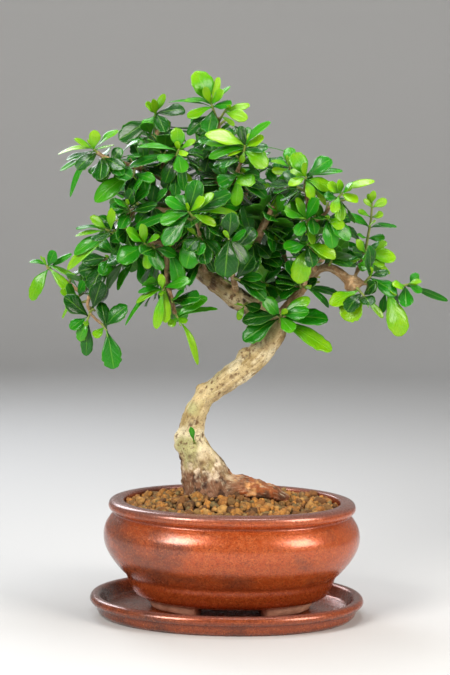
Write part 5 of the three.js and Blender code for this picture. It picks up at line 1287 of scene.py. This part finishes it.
def shown_leaf(row, spray, number, step):
    """A leaf from the table. It reaches its place in the photograph, and leans to the
    camera or away by what its full length leaves over."""
    foot_across, foot_down, tip_across, tip_down, width, lean, age, turn = row[:8]
    line = spray["line"]
    foot = nearest(line, spot([foot_across, foot_down, line[len(line) >> 1][1]]))
    flat = spot([tip_across, tip_down, foot[1]])
    seen = np.linalg.norm(flat - foot)
    spare = np.sqrt(max(full_length(width) ** 2 - seen**2, 4))
    tip = spot([tip_across, tip_down, foot[1] - lean * spare + TRY_DEPTH[step]])
    facing = np.array([0.16 * (draw(number, 1) - 0.5), -0.75, 0.62])
    edge_on = turn if tip_across < foot_across else -turn
    rolled = spin(facing, unit(tip - foot), np.radians(edge_on + TRY_ROLL[step]))
    bend = row[8] if len(row) > 8 else 0.12 + 0.26 * draw(number, 2)
    return slotted(spray["slots"], foot, tip, rolled, width, bend, age)


def ruled_leaf(spray, index, number, step):
    """A leaf by the rule: leaves follow one another round the twig by the golden angle,
    and turn from square to the twig at its foot to along it at its tip."""
    line = spray["line"]
    at = 1 - (index + 0.3) / spray["more"]
    place = min(int(at * (len(line) - 1)), len(line) - 2)
    foot = mixed(line[place, :3], line[place + 1, :3], at * (len(line) - 1) - place)
    axis = unit(line[-1, :3] - line[0, :3])
    level = [0, 0, 1.0] if abs(axis[2]) < 0.9 else [1.0, 0, 0]
    across = unit(np.cross(axis, level))
    around = np.radians(GOLDEN * index + 360 * draw(number, 3) + 41 * step)
    opening = np.radians(38 + 52 * (1 - at) + 14 * draw(number, 4))
    away = axis * np.cos(opening) + spin(across, axis, around) * np.sin(opening)
    width = 9 + 6.5 * draw(number, 5)
    heading = unit(away + [0, 0, 0.18])
    tip = foot + heading * full_length(width) * (0.8 + 0.22 * draw(number, 6))
    facing = axis * 0.7 + [0, 0, 0.8]
    bend = 0.12 + 0.26 * draw(number, 2)
    return slotted(spray["slots"], foot, tip, facing, width, bend, 0.15 + 0.6 * draw(number, 7))


class Crown:
    """The leaves and stems laid out so far, as arrays for the test for crossings."""

    def __init__(self, wood_lines):
        self.wood = rods(wood_lines, [0] * len(wood_lines))
        self.stems = None
        self.leaves = []
        self.known = {}

    def blocked(self, leaf, points, owner):
        """Whether the leaf crosses wood, another spray's stem, or another leaf."""
        middle = points[MIDDLE_SAMPLE]
        reach = leaf["length"] / 2
        if touched(points[OFF_WOOD:], middle, reach, self.wood, -1, WOOD_GAP):
            return True
        if touched(points, middle, reach, self.stems, owner, STEM_GAP):
            return True
        if not self.leaves:
            return False
        count = len(self.leaves)
        known = {key: values[:count] for key, values in self.known.items()}
        far = np.linalg.norm(known["middle"] - middle, axis=1)
        near = far < 1.1 * (reach + known["length"] / 2) + 4
        known = {key: values[near] for key, values in known.items()}
        own = (known["owner"] == owner)[:, None]
        wide = {key: values[:, None] for key, values in known.items()}
        late = np.arange(len(points)) >= OFF_SISTERS
        gap = np.where(own, SISTER_GAP, LEAF_GAP)
        hits = pierced(points[None] - wide["foot"], wide, gap)
        if (hits & (late | ~own)).any():
            return True
        hits = pierced(known["points"] - leaf["foot"], leaf, gap)
        return bool((hits & (late | ~own)).any())

    def add(self, leaf, points, owner):
        """Keeps a leaf."""
        row = {key: value for key, value in leaf.items() if key not in ("age", "slot")}
        row.update(owner=owner, points=points, middle=points[MIDDLE_SAMPLE])
        for key, value in row.items():
            if key not in self.known:
                self.known[key] = np.zeros((MOST_LEAVES, *np.shape(value)))
            self.known[key][len(self.leaves)] = value
        self.leaves.append(leaf)


def rods(lines, owners):
    """Lines of tapered rods as arrays: starts, ends, radii and owners."""
    starts = np.concatenate([line[:-1] for line in lines])
    ends = np.concatenate([line[1:, :3] for line in lines])
    whose = np.concatenate([np.full(len(line) - 1, owner) for line, owner in zip(lines, owners)])
    return starts[:, :3], ends, starts[:, 3], whose


def touched(points, middle, reach, some, owner, gap):
    """Whether a point lies within the gap of a rod that isn't the owner's."""
    start, end, radius, whose = some
    far = np.linalg.norm((start + end) / 2 - middle, axis=1)
    half = np.linalg.norm(end - start, axis=1) / 2
    near = (far < 1.1 * reach + half + radius + 4) & (whose != owner)
    if not near.any():
        return False
    start, end, radius = start[near], end[near], radius[near]
    along = end - start
    offset = points[:, None] - start[None]
    t = np.clip((offset * along).sum(-1) / (along * along).sum(-1), 0, 1)
    distance = np.linalg.norm(offset - along * t[..., None], axis=-1)
    return bool((distance < radius + gap).any())


def pierced(offset, leaf, reach):
    """Whether each point, given from a leaf's foot, lies within reach of its blade."""
    u = (offset * leaf["along"]).sum(-1) / leaf["length"]
    height = (offset * leaf["normal"]).sum(-1) + leaf["bend"] * leaf["length"] * u * u
    wide = share(np.clip(u, 0.06, 0.97)) * 0.5 * leaf["width"] + 0.9
    near = np.abs((offset * leaf["side"]).sum(-1)) < wide
    return (u > -0.05) & (u < 1.05) & (np.abs(height) < reach) & near


def spray_of(name, order, line, stretches, rows, more):
    """A spray, before it has leaves: its stem's smooth line, that line's slots, the rows of
    its leaves in the table and how many leaves the rule adds."""
    spray = {"name": name, "order": order, "line": line, "rows": rows, "more": more}
    return {**spray, "slots": twig_of(line, stretches), "leaves": []}


def table_spray(name, twig, more, rows, order):
    """A spray of the table."""
    shares = np.arange(len(twig)) / (len(twig) - 1)
    stations = [[*spot(place), mixed(*STEM_RADIUS, t)] for place, t in zip(twig, shares)]
    stretches = 2 + int(np.ceil((len(rows) + more - 1) / 3))
    return spray_of(name, order, smooth(stations, 3), stretches, rows, more)


def side_shoots():
    """Short leafy shoots that the CAD part leaves out. They stand off each thin limb, two
    from every stretch, turned by the golden angle, and fill the crown's inside and back."""
    found = []
    for name in LIMBS:
        if name in ("trunk", "surface_root", "right_stub"):
            continue
        line = limb_line(name, 2)
        for i in range(1, len(line) - 1):
            number = SHOOT_DRAWS + 40 * len(found)
            axis = unit(line[i + 1, :3] - line[i - 1, :3])
            across = unit(np.cross(axis, [0.2, 0.1, 1.0]))
            way = spin(across, axis, np.radians(GOLDEN * i + 360 * draw(number, 1)))
            heading = unit(way + 0.5 * axis + [0, 0, 0.25])
            start = line[i, :3] + heading * (line[i, 3] * 0.4)
            end = line[i, :3] + heading * (line[i, 3] + 5 + 7 * draw(number, 2))
            middle = [*mixed(start, end, 0.5), 1.1]
            stations = [[*start, STEM_RADIUS[0]], middle, [*end, STEM_RADIUS[1]]]
            found.append(spray_of(name, FIRST_SHOOT + len(found), smooth(stations, 3), 4, [], 9))
    return found


def lay_out():
    """Every spray with its leaves."""
    table = enumerate(SPRAYS.items())
    sprays = [table_spray(name, *entry, order) for order, (name, entry) in table]
    crown = Crown([limb_line(name, 1) for name in LIMBS])

    def settle(spray, make, number, allowed=None):
        """Adds the first try that crosses nothing and stays where it is allowed."""
        for step in range(len(TRY_DEPTH)):
            leaf = make(step)
            u, v = SAMPLES.T
            points = blade_points(leaf, u, v * share(u) * 0.5 * leaf["width"])
            if allowed and not all(allowed(point) for point in points[OUTLINE_SAMPLES]):
                continue
            if not crown.blocked(leaf, points, spray["order"]):
                crown.add(leaf, points, spray["order"])
                leaf["slot"]["free"] = False
                leaf["pick"] = draw(number, 8)
                spray["leaves"].append(leaf)
                return

    def rule(spray, allowed=None):
        """Adds the spray's leaves by the rule."""
        for i in range(spray["more"]):
            number = spray["order"] * SPRAY_DRAWS + RULED_DRAWS + i
            settle(spray, lambda step: ruled_leaf(spray, i, number, step), number, allowed)

    def stems(some):
        """The sprays' stems as rods."""
        return rods([spray["line"] for spray in some], [spray["order"] for spray in some])

    crown.stems = stems(sprays)
    for spray in sprays:
        for i, row in enumerate(spray["rows"]):
            number = spray["order"] * SPRAY_DRAWS + i
            settle(spray, lambda step: shown_leaf(row, spray, number, step), number)
    for spray in sprays:
        rule(spray)
    fill = side_shoots()
    crown.stems = stems(sprays + fill)
    for spray in fill:
        rule(spray, in_crown)
    return sprays, [spray for spray in fill if spray["leaves"]]


ALONG = 1 - (1 - np.linspace(0, 1, 22)) ** 1.25
ACROSS = np.linspace(-1, 1, 9)


def leaf_mesh(leaf):
    """One leaf as a closed blade: a grid on the CAD leaf's arch, folded a little along its
    midrib, rolled back at its margin, gently waved and twisted, and with blunt teeth
    round a broad tip. Gives points, faces, marks and map places."""
    u, t = np.meshgrid(ALONG, ACROSS, indexing="ij")
    pick, width = leaf["pick"], leaf["width"]
    half = np.maximum(share(ALONG) ** 0.86, 0.02) * 0.5 * width
    half = np.maximum(half, 0.55 * (ALONG < 0.3))
    toothed = rise(ALONG, 0.62, 0.77) * rise(ALONG, 1.02, 0.98)
    half = half[:, None] * (1 + 0.05 * np.sign(t) * np.sin(7 * ALONG + 40 * pick)[:, None])
    if width > 7 and pick > 0.2:
        teeth = np.cos(ALONG[:, None] * (26 + 12 * pick) + 2 * np.sign(t) + 9 * pick)
        half = half * (1 + (0.03 + 0.08 * pick) * toothed[:, None] * teeth)
    v = t * half
    fold = width * (0.1 + 0.06 * pick) * (np.sqrt(t * t + 0.015) - 0.12) * share(u) * 0.5
    margin = -0.055 * width * t**4 * share(u)
    wave = 0.05 * width * np.sin(2.2 * np.pi * u + 9 * pick + np.sign(t)) * t * t
    wave += 0.02 * width * np.sin(9 * u + 5 * pick)
    twist = (pick - 0.5) * 0.5 * (u - 0.3) * v
    quilt = 0.014 * width * np.cos(30 * (u - 0.35 * np.abs(t))) * (1 - np.abs(t)) * share(u)
    lift = (fold + margin + wave + quilt) * np.clip(u / 0.15, 0, 1) + twist
    top = blade_points(leaf, u, v) + leaf["normal"] * lift[..., None]
    thick = LEAF_THICK * (0.75 + 0.5 * (np.abs(t) < 0.1))
    thick = thick * np.where(np.abs(t) > 0.99, 0.45, 1)
    below = top - leaf["normal"] * thick[..., None]
    rows, columns = u.shape
    count = rows * columns
    points = np.concatenate([top.reshape(-1, 3), below.reshape(-1, 3)])
    upper = ring_faces(rows, columns, False)
    lower = upper[:, ::-1] + count
    rim = [*range(columns), *range(2 * columns - 1, count, columns)]
    rim += [*range(count - 2, count - columns - 1, -1), *range(count - 2 * columns, 0, -columns)]
    a = np.array(rim)
    b = np.roll(a, -1)
    edge = np.stack([a, a + count, b + count, b], -1)
    faces = np.concatenate([upper[:, ::-1], lower[:, ::-1], edge[:, ::-1]])
    under = np.repeat([0, 1], count)
    marks = np.stack([np.full(2 * count, leaf["age"]), np.full(2 * count, pick), under], -1)
    places = np.stack([u.ravel(), t.ravel() / 2 + 0.5], -1)
    return points, faces, marks, np.concatenate([places, places])


def bud_leaves(spray):
    """Three tiny young leaves that open at a stem's end."""
    line = spray["line"]
    axis = unit(line[-1, :3] - line[-2, :3])
    across = unit(np.cross(axis, [0.3, 0.2, 1.0]))
    found = []
    for i in range(3):
        number = spray["order"] * SPRAY_DRAWS + BUD_DRAWS + i
        way = spin(across, axis, np.radians(120 * i + 360 * draw(number, 1)))
        heading = unit(axis + 0.55 * way + [0, 0, 0.15])
        foot = line[-1, :3] - axis * 0.8
        width = 2.6 + 2.2 * draw(number, 2)
        tip = foot + heading * (5.5 + 5 * draw(number, 3))
        facing = unit(np.cross(heading, across)) + [0, -0.2, 0.5]
        leaf = leaf_frame(foot, tip, facing, width, 0.15)
        found.append({**leaf, "age": 0.85 + 0.15 * draw(number, 4), "pick": 0.3 * draw(number, 5)})
    return found


def leaf_skin():
    """A waxy leaf: dark green when old, yellow-green when young and paler to its tip, with
    a pale midrib, faint side veins, a pale margin that is partly a painted highlight and
    fine pale dots that are partly painted sheen, matt and paler below. The attribute "leaf" holds:
    red, its age from old to young; green, a draw for each leaf; blue, 1 on the underside.
    The map "blade" runs along the leaf and across it, from 0 to 1."""
    settings = {"Coat_Weight": 0.22, "Coat_Roughness": 0.12, "Specular_IOR_Level": 0.3}
    settings.update(Subsurface_Weight=0.08, Subsurface_Scale=0.001)
    made, shader = material("leaf", Subsurface_Radius=(0.6, 1.0, 0.15), **settings)
    leaf = node(made, "Attribute", {}, "Color", attribute_name="leaf")
    young, pick, under = node(made, "SeparateColor", {0: leaf}, slice(3))
    blade = node(made, "UVMap", {}, uv_map="blade")
    along, across = node(made, "SeparateXYZ", {0: blade}, slice(2))
    place = node(made, "TexCoord", {}, "Object")
    sizes = ((90, 3, 0.55), (1300, 3, 0.55), (1500, 2, 0.55), (900, 3, 0.7))
    broad, dark_dots, pale_dots_and_sheen, pores = several(made, "TexNoise", PATTERN, sizes, Vector=place)
    tipward = node(made, "MapRange", {0: along, 1: 0, 2: 1, 3: -0.1, 4: 0.1})
    uneven = node(made, "MapRange", {0: broad, 1: 0.3, 2: 0.7, 3: -0.06, 4: 0.06})
    age = node(made, "Math", {0: young, 1: tipward}, operation="ADD")
    age = node(made, "Math", {0: age, 1: uneven}, operation="ADD")
    stops = [(0.0, "#042802"), (0.25, "#094a02"), (0.5, "#177e02"), (0.78, "#409a02")]
    body = node(made, "ValToRGB", {0: age}, stops=[*stops, (1.0, "#84b802")])
    off = node(made, "Math", {0: across, 1: 0.5}, operation="SUBTRACT")
    off = node(made, "Math", {0: off}, operation="ABSOLUTE")
    slant = node(made, "Math", {0: off, 1: -0.75, 2: along}, operation="MULTIPLY_ADD")
    wave = node(made, "Math", {0: slant, 1: 44}, operation="MULTIPLY")
    wave = node(made, "Math", {0: wave}, operation="SINE")
    veins = node(made, "MapRange", {0: wave, 1: 0.86, 2: 1})
    rib = node(made, "MapRange", {0: off, 1: 0.012, 2: 0.045, 3: 1, 4: 0})
    body = painted(
        made,
        body,
        (pick, 0, 1, 0.25, "#0c6004"),
        (veins, 0, 1, 0.13, "#5ea828"),
        (rib, 0, 1, 0.3, "#7cbc34"),
        # pale margin: partly the leaf's lighter edge, partly a painted highlight along its rim
        (off, 0.45, 0.49, 0.28, "#7cc428"),
        (dark_dots, 0.55, 0.75, 0.25, "#0e3c08"),
        # pale dots: partly the leaf's fine dots, partly painted sheen
        (pale_dots_and_sheen, 0.64, 0.74, 0.3, "#86c070"),
        (under, 0, 1, 0.4, "#46940a"),
    )
    gloss = node(made, "Math", {0: under, 1: 0.3, 2: 0.24}, operation="MULTIPLY_ADD")
    made.node_tree.links.new(gloss, shader.inputs["Roughness"])
    lines = node(made, "Math", {0: rib, 1: veins}, operation="MAXIMUM")
    height = node(made, "Math", {0: pores, 1: lines}, operation="SUBTRACT")
    return surfaced(made, shader, body, height, 0.0004, 0.5)


def young_stem():
    """The green to brown skin of a leafy stem."""
    made, shader = material("young_stem", Roughness=0.5)
    place = node(made, "TexCoord", {}, "Object")
    body = node(made, "TexNoise", {"Vector": place, "Scale": 300, "Detail": 3, "Roughness": 0.55})
    body = node(made, "ValToRGB", {0: body}, stops=[(0.3, "#5c6a26"), (0.7, "#8a9a44")])
    made.node_tree.links.new(body, shader.inputs["Base Color"])
    return made


LEAF = leaf_skin()
STEM = young_stem()


def spray_piece(name, sprays, stands_for=(), slot="leaves"):
    """Leaves and stems of one or more sprays as one piece."""
    parts, marks, places, picks = [], [], [], []
    for spray in sprays:
        budding = spray["order"] < FIRST_SHOOT and spray["name"] != "sprout"
        for leaf in spray["leaves"] + (bud_leaves(spray) if budding else []):
            points, faces, some_marks, some_places = leaf_mesh(leaf)
            parts.append((points, faces))
            marks.append(some_marks)
            places.append(some_places)
            picks += [0] * len(faces)
        line = smooth(spray["line"][::3], 5)
        points, faces = tube(line * [1, 1, 1, 0.92], 10)
        parts.append((points, faces))
        marks.append(np.tile([0.5, 0.5, 0], (len(points), 1)))
        places.append(np.zeros((len(points), 2)))
        picks += [1] * len(faces)
    leaf_layer = ("leaf", np.concatenate(marks))
    blade_map = ("blade", np.concatenate(places))
    piece(name, *together(parts), [LEAF, STEM], stands_for, slot, leaf_layer, blade_map, picks)


sprays, fill = lay_out()
for spray in sprays:
    slot = "young_leaves" if spray["name"] == "sprout" else "leaves"
    spray_piece("leaves_" + spray["name"], [spray], ["spray_" + spray["name"]], slot)
# painted shade: the leaves inside the crown take darker, older colours to stand for the shade
# there
for spray in fill:
    for leaf in spray["leaves"]:
        leaf["age"] *= 0.55
for first in range(0, len(fill), SHOOTS_A_PIECE):
    spray_piece(f"leaves_inner_{first // SHOOTS_A_PIECE}", fill[first : first + SHOOTS_A_PIECE])


# The studio: a pale round floor that curves up into a wall, four soft boxes and the
# photograph's camera. None of it belongs to the part.
def studio_floor(radius=1500, bend=600, top=2600):
    """A floor that curves up by a quarter circle into a round wall, in one pale surface:
    the floor's radius, the quarter circle's radius and the wall's top in millimetres."""
    bends = np.linspace(0, np.pi / 2, 12)
    rows = [(radius + bend * np.sin(a), bend - bend * np.cos(a)) for a in bends]
    rows = [(1, 0), *rows, (radius + bend, top)]
    angles = 2 * np.pi * np.arange(96) / 96
    points = [[r * np.cos(a), r * np.sin(a), z] for r, z in rows for a in angles]
    faces = ring_faces(len(rows), len(angles))[:, ::-1].tolist() + [list(range(len(angles)))]
    mesh = bpy.data.meshes.new("floor")
    mesh.from_pydata((np.array(points) * MM).tolist(), [], faces)
    mesh.shade_smooth()
    mesh.materials.append(material("floor", Base_Color=linear("#cbcccd"), Roughness=0.7)[0])
    made = bpy.data.objects.new("floor", mesh)
    bpy.context.scene.collection.objects.link(made)
    return made


def softbox(name, place, target, width, height, power, colour):
    """A rectangular area light at a place in millimetres, turned to face the target."""
    light = bpy.data.lights.new(name, "AREA")
    light.shape = "RECTANGLE"
    light.size, light.size_y = width * MM, height * MM
    light.energy = power
    light.color = linear(colour)[:3]
    made = bpy.data.objects.new(name, light)
    bpy.context.scene.collection.objects.link(made)
    back = unit(np.array(place, float) - target)
    side = unit(np.cross([0, 0, 1], back))
    frame = np.stack([side, np.cross(back, side), back], -1)
    turn = Matrix(frame.tolist()).to_4x4()
    made.matrix_world = Matrix.Translation(np.array(place) * MM) @ turn
    return made


LIT = np.array([0, 0, 230.0])  # the point that the lights face
lights = [
    softbox("key_light", (-700, -860, 860), LIT, 480, 640, 17.5, "#fffaf2"),
    softbox("side_light", (860, -640, 640), LIT, 460, 640, 11, "#fff6ea"),
    softbox("top_light", (60, 60, 1250), LIT, 600, 420, 9, "#ffffff"),
    softbox("back_light", (-500, 900, 800), LIT, 500, 500, 5, "#f4f8ff"),
]
world = bpy.data.worlds.new("studio")
world.use_nodes = True
backdrop = world.node_tree.nodes["Background"].inputs
backdrop["Color"].default_value = linear("#e8ecf0")
backdrop["Strength"].default_value = 0.08
bpy.context.scene.world = world
bpy.context.scene.view_settings.view_transform = "Standard"

PHOTO = (450, 675)  # the photograph's width and height in pixels
lens = bpy.data.cameras.new("camera")
lens.sensor_fit = "VERTICAL"
lens.sensor_height = 24
lens.lens = CAMERA["focal"] / PHOTO[1] * lens.sensor_height
camera = bpy.data.objects.new("camera", lens)
bpy.context.scene.collection.objects.link(camera)
turn = np.stack([RIGHT, UP, -FORWARD], -1)
camera.matrix_world = Matrix.Translation(EYE * MM) @ Matrix(turn.tolist()).to_4x4()
bpy.context.scene.camera = camera

studio_floor()
